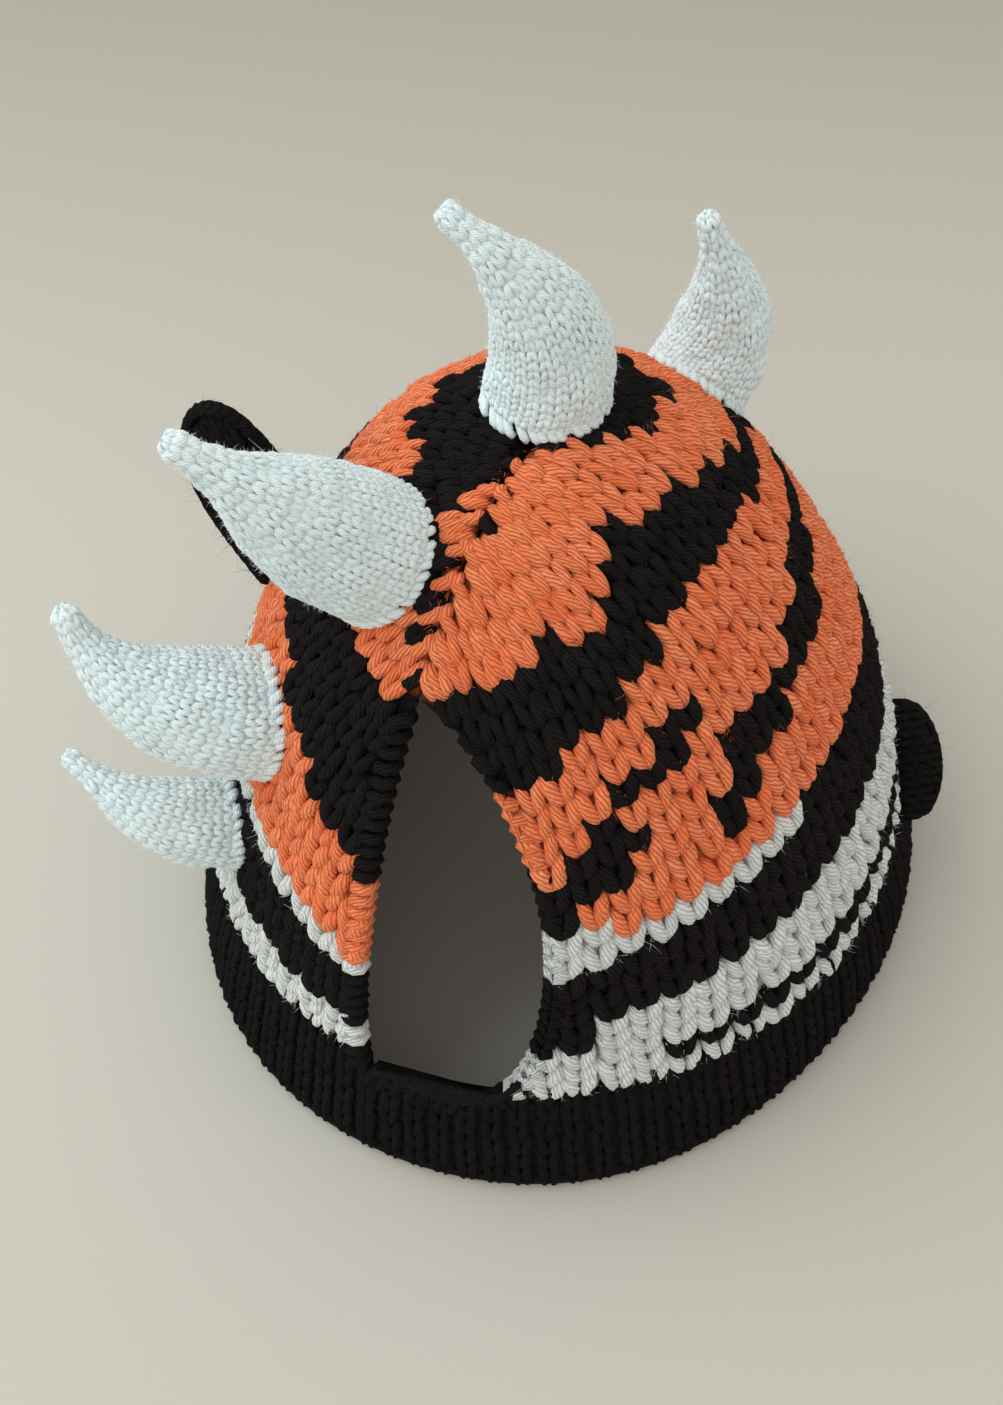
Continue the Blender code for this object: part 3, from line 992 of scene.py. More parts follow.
@dataclass
class Panel:
    """A stranded half panel of the cosy, from its crown to its ribbed hem."""

    name: str
    fabric: Fabric
    chart: Chart
    handle: Slot
    spout: Slot
    seed: int
    rows: int = 30
    half_columns: int = 19
    yarn_share: float = 0.250
    least_radius: float = 1.38 * MM
    most_radius: float = 2.0 * MM
    most_bend: float = 1.8 * MM
    edge_pad: float = 0.40
    proud: float = 0.3 * MM
    leg: Leg = Leg()
    ribs: int = 44
    rib_rows: int = 7
    rib_radius: float = 1.45 * MM
    rib_relief: float = 0.45 * MM
    rib_inset: float = 1.3 * MM
    rib_leg: Leg = Leg(0.10, 0.27, -0.25, 1.10, 0.6 * MM, 1.0 * MM)
    fade_start: float = 24.0 * MM
    fade_reach: float = 9.0 * MM
    ground_inset: float = 2.6 * MM
    ground_levels: int = 54
    rib_levels: int = 9
    ground_columns: int = 60

    @property
    def dome(self) -> Dome:
        """The form that the panel lies on."""
        return self.fabric.dome

    def limits(self, z: Array) -> tuple[Array, Array]:
        """The panel's two edges at a height, as shares of the way to the seam."""
        quarter = 0.5 * math.pi
        return -1.0 + self.handle.angle(z) / quarter, 1.0 - self.spout.angle(z) / quarter

    def within(self, share: Array, z: Array, edge: Array | float) -> Array:
        """Keep shares inside the panel's edges, by a length of skin.

        Args:
            share: Shares of the way from the panel's middle to its seam.
            z: Heights above the floor.
            edge: How far inside the edges they stay.

        Returns:
            The shares, kept inside.
        """
        low, high = self.limits(z)
        margin = edge / np.maximum(self.dome.quarter_at(self.dome.length_at(z)), edge)
        return np.clip(share, np.minimum(low + margin, 0.0), np.maximum(high - margin, 0.0))

    def on_skin(self, share: Array, z: Array, lift: Array | float) -> tuple[Array, Array]:
        """Points lifted off the outer skin, with the skin's normals.

        Args:
            share: Shares of the way from the panel's middle to its seam.
            z: Heights above the floor.
            lift: How far off the skin each point lies.

        Returns:
            The points and the normals.
        """
        bearing = self.fabric.bearing(share)
        normal = self.dome.normal(bearing, z)
        return self.dome.point(bearing, z) + np.asarray(lift)[..., None] * normal, normal

    def yarn_at(self, length: Array) -> tuple[Array, Array]:
        """Heights, and the yarn's full radii, at skin lengths from the floor.

        Args:
            length: Skin lengths from the floor.

        Returns:
            The heights and the radii.
        """
        width = self.fabric.width_at(self.dome.quarter_at(length))
        full = np.clip(self.yarn_share * width, self.least_radius, self.most_radius)
        return self.dome.height_at(np.clip(length, 1.0 * MM, self.dome.crown_length - 0.5 * MM)), full

    def stitch_places(self) -> tuple[Array, Array]:
        """Rows and columns of the panel's stitches, those that lie between its edges.

        Returns:
            The rows and the columns, one of each for a stitch.
        """
        row, column = np.meshgrid(
            np.arange(self.rows), np.arange(-self.half_columns, self.half_columns + 1), indexing="ij"
        )
        share, length = self.fabric.place(row + 0.5, column)
        low, high = self.limits(self.dome.height_at(length))
        quarter = self.dome.quarter_at(length)
        pad = self.edge_pad * self.fabric.width_at(quarter) / np.maximum(quarter, 1e-4)
        keep = (share > low + pad) & (share < high - pad) & (length < self.dome.crown_length - 3.0 * MM)
        return row[keep].astype(float), column[keep].astype(float)

    def lay_legs(self, work: dict[Yarn, YarnWork], steps: dict[Yarn, int]) -> None:
        """Lay the two legs of every stitch in its yarn.

        Args:
            work: The yarn work of each yarn.
            steps: How many steps a leg has in each yarn.
        """
        row, column = self.stitch_places()
        masks = self.chart.masks(row + 0.5, column)
        rng = np.random.default_rng(self.seed)
        shake = rng.normal(0.0, 1.0, (6, len(row)))
        for yarn in Yarn:
            chosen = masks[yarn]
            aside, up, deep, girth = self.leg.route(steps[yarn])
            for hand in (-1, 1):
                nudge = shake[3 if hand > 0 else 4][chosen]
                x = column[chosen, None] + hand * (aside + 0.03 * nudge[:, None])
                y = row[chosen, None] + up + 0.08 * shake[0][chosen, None]
                share, length = self.fabric.place(y, x + 0.045 * shake[1][chosen, None])
                z, full = self.yarn_at(length)
                full = full * (1.0 + 0.08 * nudge[:, None])
                radius = full * girth
                held = self.within(share, z, 0.6 * full)
                bent = np.max(np.abs(held - share) * self.dome.quarter_at(length), axis=1)
                lift = self.proud - full - deep + 0.24 * MM * shake[2][chosen, None]
                path, normal = self.on_skin(held, z, lift)
                tint = np.clip(PLAIN_TINT + 0.10 * shake[5][chosen] + 0.05 * nudge, 0.0, MOST_TINT)
                fits = bent < self.most_bend
                work[yarn].lay(path[fits], normal[fits], radius[fits], tint[fits])

    def lay_seam(self, work: dict[Yarn, YarnWork], steps: dict[Yarn, int]) -> None:
        """Lay the outer leg of each row's edge stitch, which the seam draws up to the other panel.

        Args:
            work: The yarn work of each yarn.
            steps: How many steps a leg has in each yarn.
        """
        row = np.arange(float(self.rows))
        rng = np.random.default_rng(self.seed + 21)
        for hand in (-1, 1):
            column = np.full(row.shape, hand * float(self.half_columns))
            for _ in range(12):
                share, length = self.fabric.place(row + 0.5, column)
                quarter = self.dome.quarter_at(length)
                column = hand * quarter / self.fabric.width_at(quarter)
            z = self.dome.height_at(length)
            edge = self.limits(z)[max(hand, 0)]
            closed = (np.abs(edge) > 0.995) & (length < self.dome.crown_length - 5.0 * MM)
            masks = self.chart.masks(row + 0.5, column - 0.4 * hand)
            shake = rng.normal(0.0, 1.0, (2, len(row)))
            for yarn in Yarn:
                chosen = masks[yarn] & closed
                aside, up, deep, girth = self.leg.route(steps[yarn])
                x = column[chosen, None] - hand * (0.52 - aside)
                share, length = self.fabric.place(row[chosen, None] + up + 0.05 * shake[0][chosen, None], x)
                z, full = self.yarn_at(length)
                share = self.within(share, z, 0.6 * full)
                path, normal = self.on_skin(share, z, self.proud + 0.3 * MM - full - deep)
                tint = np.clip(PLAIN_TINT + 0.1 * shake[1][chosen], 0.0, MOST_TINT)
                work[yarn].lay(path, normal, full * girth, tint)

    def rib_top(self, share: Array) -> Array:
        """Height where the rib gives way to the first row of stitches.

        Args:
            share: Shares of the way from the panel's middle to its seam.

        Returns:
            The heights.
        """
        columns = np.linspace(-self.half_columns, self.half_columns, 4 * self.half_columns + 1)
        shares, lengths = self.fabric.place(0.0, columns)
        return self.dome.height_at(np.interp(share, shares, lengths))

    def lay_rib(self, work: YarnWork) -> None:
        """Lay the hem's columns of plain stitches, which stand out between its purl ones.

        Args:
            work: The yarn work that gathers the stitches.
        """
        rib, level = np.meshgrid(np.arange(self.ribs + 1), np.arange(self.rib_rows), indexing="ij")
        rib, level = rib.ravel().astype(float), level.ravel().astype(float)
        rng = np.random.default_rng(self.seed + 7)
        shake = rng.normal(0.0, 1.0, (3, len(rib)))
        aside, up, deep, girth = self.rib_leg.route(5)
        for hand in (-1, 1):
            share = -1.0 + 2.0 * (rib[:, None] + hand * aside + 0.03 * shake[0][:, None]) / self.ribs
            reach = (level[:, None] + up + 0.06 * shake[1][:, None]) / self.rib_rows
            z = np.clip(reach * (self.rib_top(share) + 2.0 * MM), 1.4 * MM, None)
            share = self.within(share, z, 0.8 * self.rib_radius)
            fade = np.clip((z - self.fade_start) / self.fade_reach, 0.0, 1.0)
            lift = self.rib_relief * (1.0 - fade) + 0.25 * MM - self.rib_radius - 0.6 * deep
            path, normal = self.on_skin(share, z, lift)
            tint = np.clip(PLAIN_TINT + 0.1 * shake[2], 0.0, MOST_TINT)
            work.lay(path, normal, self.rib_radius * girth, tint)

    def lay_cast_on(self, work: YarnWork) -> None:
        """Lay the cast-on loops round the hem's lower edge.

        Args:
            work: The yarn work that gathers the stitches.
        """
        loops = np.arange(2 * self.ribs) + 0.5
        share = (-1.0 + loops / self.ribs)[:, None] * np.ones(6)
        outer = np.array([-0.6, -0.9, -1.6, -3.4, -4.1, -4.4]) * MM
        z = np.array([6.0, 2.4, 1.35, 1.35, 2.4, 6.0]) * MM * np.ones(share.shape)
        share = share + 0.25 / self.ribs * np.linspace(-1.0, 1.0, 6)
        share = self.within(share, z, 1.2 * MM)
        path, normal = self.on_skin(share, z, outer)
        out = over_rim(normal, np.array([1.0, 0.6, 0.0, 0.0, -0.6, -1.0]), -UP)
        work.lay(path, out, 1.15 * MM, PLAIN_TINT)

    def lay_selvedge(self, work: dict[Yarn, YarnWork]) -> None:
        """Lay the loops along both slots' edges, from the right side round to the wrong side.

        Args:
            work: The yarn work of each yarn.
        """
        inward = np.array([4.2, 1.5, 0.1, 0.1, 1.7, 4.2]) * MM
        deep = np.array([1.3, 0.9, 1.6, 3.3, 4.2, 4.6]) * MM
        climb = np.array([-1.3, -0.7, -0.2, 0.2, 0.7, 1.3]) * MM
        turn = np.array([1.0, 0.7, 0.3, -0.3, -0.7, -1.0])
        for hand, slot in ((-1, self.handle), (1, self.spout)):
            z = np.arange(slot.low + 2.0 * MM, slot.high - 3.0 * MM, 3.6 * MM)
            edge = self.limits(z)[max(hand, 0)]
            heights = np.clip(z[:, None] + climb, slot.low + 0.3 * MM, slot.high - 0.3 * MM)
            quarter = self.dome.quarter_at(self.dome.length_at(z))[:, None]
            share = edge[:, None] - hand * inward / quarter
            path, normal = self.on_skin(share, heights, -deep)
            level = unit(np.gradient(path, axis=0))
            out = over_rim(normal, turn, unit(np.cross(normal, level)) * hand)
            nearest = edge - hand * 3.0 * MM / quarter[:, 0]
            place = self.fabric.chart_place(nearest, self.dome.length_at(z))
            for yarn, chosen in self.chart.masks_and_rib(*place).items():
                work[yarn].lay(path[chosen], out[chosen], 1.5 * MM, PLAIN_TINT)

    def lay_foot(self, work: YarnWork) -> None:
        """Lay the loops that finish the rib's top where a slot's foot leaves it bare.

        Args:
            work: The yarn work that gathers the stitches.
        """
        deep = np.array([0.9, 0.9, 1.7, 3.3, 4.1, 4.3]) * MM
        climb = np.array([-4.2, -1.7, -0.2, -0.2, -1.7, -4.2]) * MM
        turn = np.array([1.0, 0.7, 0.2, -0.2, -0.7, -1.0])
        for hand, slot in ((-1, self.handle), (1, self.spout)):
            bare = 2.0 * slot.foot / slot.foot_columns
            count = int(bare * self.dome.quarter_at(self.dome.length_at(slot.low)) / (3.4 * MM))
            share = hand * (1.0 - bare * (np.arange(count) + 0.5) / max(count, 1))[:, None]
            share = share + 0.012 * np.linspace(-1.0, 1.0, 6)
            heights = slot.low + climb * np.ones(share.shape)
            path, normal = self.on_skin(share, heights, -deep)
            out = over_rim(normal, turn, UP)
            work.lay(path, out, 1.6 * MM, PLAIN_TINT)

    def lay_wrong_side(self, work: dict[Yarn, YarnWork]) -> None:
        """Lay the purl bumps of the wrong side, inside the cosy.

        Args:
            work: The yarn work of each yarn.
        """
        row, column = self.stitch_places()
        masks = self.chart.masks(row + 0.5, column)
        across = np.linspace(-0.42, 0.42, 4)
        climb = 0.18 * np.array([-1.0, 1.0, 1.0, -1.0])
        rise = np.array([0.0, 1.0, 1.0, 0.0]) * 0.8 * MM
        for yarn in Yarn:
            chosen = masks[yarn]
            share, length = self.fabric.place(row[chosen, None] + 0.5 + climb, column[chosen, None] + across)
            z = self.dome.height_at(length)
            share = self.within(share, z, 1.5 * MM)
            path, normal = self.on_skin(share, z, -(4.3 * MM + rise))
            work[yarn].lay(path, -normal, 1.1 * MM, 0.15)

    def ground(self) -> bpy.types.Object:
        """Make the thin cloth under the stitches, whose colours follow the chart.

        Returns:
            The cloth's piece.
        """
        dome = self.dome
        foot = self.handle.low
        lows = np.linspace(0.6 * MM, foot - 0.1 * MM, self.rib_levels)
        start, end = dome.length_at(foot + 0.1 * MM), dome.crown_length - 2.0 * MM
        climb = np.linspace(start, end, self.ground_levels - self.rib_levels)
        z = np.concatenate([lows, dome.height_at(climb)])[:, None]
        low, high = self.limits(z)
        margin = 0.8 * MM / dome.quarter_at(dome.length_at(z))
        share = low + margin + (high - low - 2.0 * margin) * np.linspace(0.0, 1.0, self.ground_columns)
        bearing = self.fabric.bearing(share)
        row, column = self.fabric.chart_place(share, dome.length_at(z * np.ones(share.shape)))
        masks = self.chart.masks(row, column)
        tone = np.zeros((*share.shape, 3))
        for yarn, finish in YARN_FINISHES.items():
            tone[masks[yarn]] = finish.colour
        tone[row < 0.0] = BLACK_YARN.colour
        skins = []
        for inset in (self.ground_inset, self.rib_inset, dome.wall - 0.3 * MM):
            height = z * (1.0 - inset / dome.height)
            skins.append(dome.point(bearing, np.maximum(height, 0.6 * MM), inset))
        outer = np.where(z[..., None] < foot, skins[1], skins[0])
        rings = np.concatenate([outer, skins[2][:, ::-1]], axis=1)
        shade = np.concatenate([tone, tone[:, ::-1]], axis=1)
        if self.fabric.side < 0:
            rings, shade = rings[:, ::-1], shade[:, ::-1]
        levels, around = rings.shape[:2]
        pair = np.arange(around // 2 - 1)
        bottom = np.stack([pair, around - 1 - pair, around - 2 - pair, pair + 1], axis=1)
        top = bottom[:, ::-1] + (levels - 1) * around
        piece = make_mesh(
            self.name + "_cloth",
            rings.reshape(-1, 3),
            [wall_faces(levels, around), bottom, top],
            GROUND.material(),
            colour=shade.reshape(-1, 3),
        )
        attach(piece, "root")
        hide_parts(self.name)
        return piece

    def build(self) -> list[bpy.types.Object]:
        """Knit the panel.

        Returns:
            Its pieces, the cloth first.
        """
        steps = {Yarn.ORANGE: 8, Yarn.BLACK: 6, Yarn.WHITE: 8}
        work: dict[Yarn, YarnWork] = {}
        inside: dict[Yarn, YarnWork] = {}
        for yarn in Yarn:
            stem = f"{self.name}_{yarn.value}"
            work[yarn] = YarnWork(stem + "_stitches", sides=steps[yarn] + 1, seed=self.seed)
            inside[yarn] = YarnWork(stem + "_wrong_side", sides=4, seed=self.seed + 2)
        self.lay_legs(work, steps)
        self.lay_seam(work, steps)
        self.lay_selvedge(work)
        hem = YarnWork(self.name + "_rib", sides=5, seed=self.seed + 1)
        self.lay_rib(hem)
        self.lay_cast_on(hem)
        self.lay_foot(hem)
        self.lay_wrong_side(inside)
        cloth = self.ground()
        pieces: list[bpy.types.Object | None] = []
        for side in (work, inside):
            for yarn, finish in YARN_FINISHES.items():
                pieces.append(side[yarn].build(finish.material(), "body_knit"))
        pieces.append(hem.build(BLACK_YARN.material(), "body_knit"))
        return [cloth, *[piece for piece in pieces if piece]]


@dataclass(frozen=True)
class Horn:
    """A stuffed horn, knitted in a fine yarn from its base to its tip and whip-stitched to the dome."""

    name: str
    bearing: float
    rise: float
    base_radius: float
    start: Triple
    tip: Triple
    hook: Triple
    dome: Dome
    seed: int
    nub: float = 0.21
    taper: float = 2.2
    closing: float = 1.8
    gap: float = 0.0004
    stitch_width: float = 3.1 * MM
    row_pitch: float = 2.6 * MM
    yarn_radius: float = 0.84 * MM
    proud: float = 0.30 * MM
    lump: float = 0.30 * MM
    drift: float = 0.015
    narrowest: float = 0.74
    sewing_pitch: float = 2.3 * MM
    sewing_slant: float = 2.8 * MM
    core_inset: float = 0.55 * MM
    leg: Leg = Leg(0.09, 0.38, -0.24, 1.08, 0.5 * MM, 0.8 * MM, 0.70)

    @cached_property
    def seat(self) -> tuple[Array, Array]:
        """The middle of the base on the dome's skin, and the skin's normal."""
        return self.dome.seat(self.bearing, self.rise)

    @cached_property
    def handles(self) -> Array:
        """The four control points of the horn's centre line.

        Returns:
            One point a row, from the base to the tip.
        """
        base, normal = self.seat
        start = unit(normal + np.array(self.start))
        tip = np.array(self.tip) + np.array(self.dome.centre)
        length = float(np.linalg.norm(tip - base))
        hook = unit(np.array(self.hook))
        return np.array([base, base + 0.42 * length * start, tip - 0.32 * length * hook, tip])

    @cached_property
    def reach(self) -> float:
        """How far the tip stands from the middle of the base."""
        return float(np.linalg.norm(self.handles[3] - self.handles[0]))

    @cached_property
    def across(self) -> Array:
        """The direction across the plane that the horn bends in."""
        return np.cross(unit(self.seat[1] + np.array(self.start)), unit(np.array(self.hook)))

    def line(self, along: Array) -> tuple[Array, Array]:
        """Centres and directions of the horn at shares of the way to its tip.

        Args:
            along: Shares of the way from the base to the tip.

        Returns:
            The centres and the unit directions.
        """
        left = 1.0 - along
        weights = np.stack([left**3, 3.0 * left**2 * along, 3.0 * left * along**2, along**3], axis=-1)
        slopes = np.stack([left**2, 2.0 * left * along, along**2], axis=-1)
        return weights @ self.handles, unit(slopes @ np.diff(self.handles, axis=0))

    def radius(self, along: Array) -> Array:
        """Radius of the horn: full at the base, tapering to a narrow nub with a round end.

        Args:
            along: Shares of the way from the base to the tip.

        Returns:
            The radii.
        """
        body = (1.0 - along**self.taper) ** self.closing
        full = self.base_radius * np.hypot(body, self.nub) / math.hypot(1.0, self.nub)
        end = self.nub * self.base_radius / self.reach
        past = np.clip(1.0 - (1.0 - along) / end, 0.0, 1.0)
        return full * np.sqrt(1.0 - past**2)

    def skin(self, along: Array, angle: Array, lift: Array | float) -> tuple[Array, Array]:
        """Points lifted off the horn's skin, kept outside the dome, with outward directions.

        Args:
            along: Shares of the way from the base to the tip.
            angle: Angles round the horn.
            lift: How far off the skin each point lies.

        Returns:
            The points and their outward directions.
        """
        along, angle, lift = np.broadcast_arrays(along, angle, lift)
        along = np.clip(along, 0.0, 0.999)
        centre, direction = self.line(along)
        side = unit(self.across - np.sum(self.across * direction, axis=-1, keepdims=True) * direction)
        radial = spokes(angle, side, np.cross(direction, side))
        lower = np.clip(along - 0.0005, 0.0, 0.998)
        slope = (self.radius(lower + 0.001) - self.radius(lower)) / 0.001
        out = unit(radial - (slope / self.reach)[..., None] * direction)
        points = centre + self.radius(along)[..., None] * radial + lift[..., None] * out
        landed = self.dome.land(points, self.gap + 0.35 * self.yarn_radius)
        inside = ~self.dome.outside(points - self.gap * self.seat[1])
        return np.where(inside[..., None], landed, points), out

    @cached_property
    def lengths(self) -> tuple[Array, Array]:
        """Shares of the way to the tip, and lengths of skin up to them.

        Returns:
            The shares and the lengths.
        """
        along = np.linspace(0.0, 0.995, 240)
        centre, _ = self.line(along)
        steps = np.hypot(np.linalg.norm(np.diff(centre, axis=0), axis=1), np.diff(self.radius(along)))
        return along, np.concatenate([[0.0], np.cumsum(steps)])

    def columns(self, rows: int) -> Array:
        """How many columns of stitches each row has, fewer after each round of decreases.

        Args:
            rows: How many rows the horn has.

        Returns:
            The number of columns in each row.
        """
        counts = []
        count = round(math.tau * self.base_radius / self.stitch_width)
        for row in range(rows):
            along = np.interp((row + 0.5) * self.row_pitch, self.lengths[1], self.lengths[0])
            girth = math.tau * float(self.radius(along))
            if girth / count < self.narrowest * self.stitch_width:
                count = max(5, round(girth / self.stitch_width / 1.04))
            counts.append(count)
        return np.array(counts)

    def lay_stitches(self, work: YarnWork) -> None:
        """Lay the two legs of every stitch.

        Args:
            work: The yarn work that gathers the stitches.
        """
        rows = int(self.lengths[1][-1] / self.row_pitch) + 1
        counts = self.columns(rows)
        row = np.repeat(np.arange(rows), counts).astype(float)
        around = np.repeat(counts, counts).astype(float)
        column = np.concatenate([np.arange(count) for count in counts]) + self.drift * row
        rng = np.random.default_rng(self.seed)
        shake = rng.normal(0.0, 1.0, (5, len(row)))
        aside, up, deep, girth = self.leg.route(5)
        for hand in (-1, 1):
            turn = column[:, None] + hand * aside + 0.04 * shake[0][:, None]
            angle = math.tau * turn / around[:, None]
            run = (row[:, None] + up + 0.07 * shake[1][:, None]) * self.row_pitch
            along = np.interp(run, self.lengths[1], self.lengths[0])
            room = math.tau * self.radius(along) / around[:, None] / self.stitch_width
            full = self.yarn_radius * np.clip(room, 0.7, 1.12) * (1.0 + 0.05 * shake[2][:, None])
            lumps = np.sin(5.0 * angle + 0.4 * self.seed) * np.cos(0.9 * row[:, None] + self.seed)
            lift = self.proud - full - deep + self.lump * lumps + 0.12 * MM * shake[3][:, None]
            path, out = self.skin(along, angle, lift)
            work.lay(path, out, full * girth, np.clip(PLAIN_TINT + 0.12 * shake[4], 0.0, MOST_TINT))

    def lay_whip_stitches(self, work: YarnWork) -> None:
        """Lay the loops that sew the base to the dome.

        Args:
            work: The yarn work that gathers the stitches.
        """
        count = round(math.tau * self.base_radius / self.sewing_pitch)
        angle = math.tau * np.arange(count) / count
        rng = np.random.default_rng(self.seed + 3)
        base, normal = self.seat
        side = unit(self.across - float(self.across @ normal) * normal)
        reach = np.array([-2.0, -1.1, -0.4, 0.1, -0.2]) * MM
        lift = np.array([3.0, 2.4, 1.5, 0.4, -0.6]) * MM
        swing = np.linspace(-0.5, 0.5, 5) * self.sewing_slant / self.base_radius
        turn = angle[:, None] + swing + 0.04 * rng.normal(0.0, 1.0, (count, 1))
        radial = spokes(turn, side, np.cross(normal, side))
        foot = base + (self.base_radius + reach)[:, None] * radial
        path = self.dome.land(foot, 0.0) + lift[:, None] * normal
        tint = np.clip(0.3 + 0.1 * rng.normal(0.0, 1.0, count), 0.0, MOST_TINT)
        work.lay(path, unit(radial + 0.8 * normal), 1.0 * MM, tint)

    def padding(self) -> bpy.types.Object:
        """Make the stuffed body under the stitches.

        Returns:
            The padding's piece.
        """
        along = np.concatenate([np.linspace(0.0, 0.9, 22), [0.94, 0.97, 0.99]])[:, None]
        angle = math.tau * np.arange(22) / 22
        rings, _ = self.skin(along, angle, -self.core_inset)
        levels, around = rings.shape[:2]
        walls = wall_faces(levels, around)
        base = np.arange(around)[None, ::-1]
        end = np.arange(around)[None, :] + (levels - 1) * around
        tint = np.full(levels * around, PADDING_TINT)
        winding = np.stack([rings[..., 2].ravel() / MM, np.tile(angle, levels)], axis=1)
        polygons = [walls, base, end]
        piece = make_mesh(
            self.name + "_padding", rings.reshape(-1, 3), polygons, HORN_YARN.material(), tint, winding
        )
        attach(piece, "root")
        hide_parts(self.name)
        return piece

    def build(self) -> None:
        """Stuff, knit and sew on the horn."""
        self.padding()
        knit = YarnWork(self.name + "_stitches", sides=5, twist=FINE_PLIED, seed=self.seed)
        self.lay_stitches(knit)
        knit.build(HORN_YARN.material(), "horn_knit")
        sewing = YarnWork(self.name + "_sewing", sides=6, twist=FINE_PLIED, seed=self.seed)
        self.lay_whip_stitches(sewing)
        sewing.build(HORN_YARN.material(), "horn_knit")


@dataclass(frozen=True)
class Flap:
    """A small padded flap, knitted in black and sewn to the dome along one edge."""

    name: str
    bearing: float
    rise: float
    tilt: float
    width: float
    reach: float
    thickness: float
    lift: float
    roundness: float
    dome: Dome
    seed: int
    gap: float = 0.0004
    stitch_width: float = 4.4 * MM
    row_pitch: float = 3.8 * MM
    yarn_radius: float = 1.05 * MM
    rim_pitch: float = 3.2 * MM
    core_inset: float = 1.3 * MM
    leg: Leg = Leg(0.09, 0.35, -0.30, 1.15, 0.6 * MM, 0.9 * MM, 0.75)

    @cached_property
    def axes(self) -> tuple[Array, Array, Array, Array]:
        """The base point, and the directions along the sewn edge, outwards and through the flap.

        Returns:
            The point and the three directions.
        """
        base, normal = self.dome.seat(self.bearing, self.rise)
        level = unit(np.cross(UP, normal))
        upward = np.cross(normal, level)
        tilt, lift = math.radians(self.tilt), math.radians(self.lift)
        edge = math.cos(tilt) * level + math.sin(tilt) * upward
        outwards = unit(normal + math.tan(lift) * upward)
        return base, edge, outwards, unit(np.cross(edge, outwards))

    def share(self, run: Array, rise: Array) -> Array:
        """How far places in the flap's plane lie towards its rim, from 0 to 1 and beyond.

        Args:
            run: How far along the sewn edge each place lies from its middle.
            rise: How far out from the sewn edge each place lies.

        Returns:
            The shares, 1 at the rim.
        """
        low, high = np.zeros(np.broadcast(run, rise).shape), np.full(np.broadcast(run, rise).shape, 4.0)
        for _ in range(24):
            middle = 0.5 * (low + high)
            inside = (run / (0.5 * self.width * middle)) ** 2 + (
                np.maximum(rise, 0.0) / (self.reach * middle)
            ) ** (2.0 / self.roundness) < 1.0
            high, low = np.where(inside, middle, high), np.where(inside, low, middle)
        return high

    def face(self, run: Array, rise: Array, hand: int, lift: Array | float) -> Array:
        """Points of one face of the flap, lifted off it and kept outside the dome.

        Args:
            run: How far along the sewn edge each place lies from its middle.
            rise: How far out from the sewn edge each place lies.
            hand: 1 for the front face, -1 for the back one.
            lift: How far off the face each point lies.

        Returns:
            The points.
        """
        base, edge, outwards, through = self.axes
        bulge = 0.5 * self.thickness * np.sqrt(np.clip(1.0 - self.share(run, rise) ** 4, 0.0, 1.0))
        points = base + run[..., None] * edge + rise[..., None] * outwards
        points = points + (hand * (bulge + lift))[..., None] * through
        inside = ~self.dome.outside(points)
        return np.where(inside[..., None], self.dome.land(points, self.gap), points)

    def lay_stitches(self, work: YarnWork) -> None:
        """Lay the stitches of both faces.

        Args:
            work: The yarn work that gathers the stitches.
        """
        rows, half = int(self.reach / self.row_pitch) + 1, int(0.5 * self.width / self.stitch_width) + 1
        row, column = np.meshgrid(np.arange(rows), np.arange(-half, half + 1), indexing="ij")
        share = self.share(column * self.stitch_width, (row + 0.5) * self.row_pitch)
        row, column = row[share < 0.95].astype(float), column[share < 0.95].astype(float)
        rng = np.random.default_rng(self.seed)
        aside, up, deep, girth = self.leg.route(6)
        through = self.axes[3]
        for face_hand in (-1, 1):
            shake = rng.normal(0.0, 1.0, (4, len(row)))
            for hand in (-1, 1):
                run = (column[:, None] + hand * aside + 0.03 * shake[0][:, None]) * self.stitch_width
                rise = (row[:, None] + up + 0.06 * shake[1][:, None]) * self.row_pitch
                share = self.share(run, rise)
                shrink = np.minimum(1.0, 0.93 / np.maximum(share, 1e-6))
                lift = 0.3 * MM - self.yarn_radius - deep + 0.1 * MM * shake[2][:, None]
                path = self.face(run * shrink, rise * shrink, face_hand, lift)
                tint = np.clip(PLAIN_TINT + 0.1 * shake[3], 0.0, MOST_TINT)
                work.lay(path, face_hand * through, self.yarn_radius * girth, tint)

    def lay_rim(self, work: YarnWork) -> None:
        """Lay the chain of stitches along the free edge.

        Args:
            work: The yarn work that gathers the stitches.
        """
        base, edge, outwards, through = self.axes
        fine = np.linspace(0.0, math.pi, 400)
        rim = np.stack(
            [0.5 * self.width * np.cos(fine), self.reach * np.sin(fine) ** self.roundness], axis=1
        )
        length = np.concatenate([[0.0], np.cumsum(np.linalg.norm(np.diff(rim, axis=0), axis=1))])
        count = int(length[-1] / self.rim_pitch)
        steps = np.linspace(-0.3, 1.15, 6)
        for hand in (-1, 1):
            place = (np.arange(count)[:, None] + steps) * length[-1] / count
            run, rise = np.interp(place, length, rim[:, 0]), np.interp(place, length, rim[:, 1])
            shrink = 1.0 - 0.7 * self.yarn_radius / self.reach - 0.02 * np.abs(steps)
            run, rise = run * shrink, rise * shrink
            aside = hand * self.yarn_radius * (0.3 + 0.6 * np.linspace(0.0, 1.0, 6))
            path = base + run[..., None] * edge + rise[..., None] * outwards + aside[:, None] * through
            path = np.where((~self.dome.outside(path))[..., None], self.dome.land(path, self.gap), path)
            out = unit(run[..., None] * edge / self.width + rise[..., None] * outwards / self.reach)
            work.lay(path, out, 0.95 * self.yarn_radius, PLAIN_TINT)

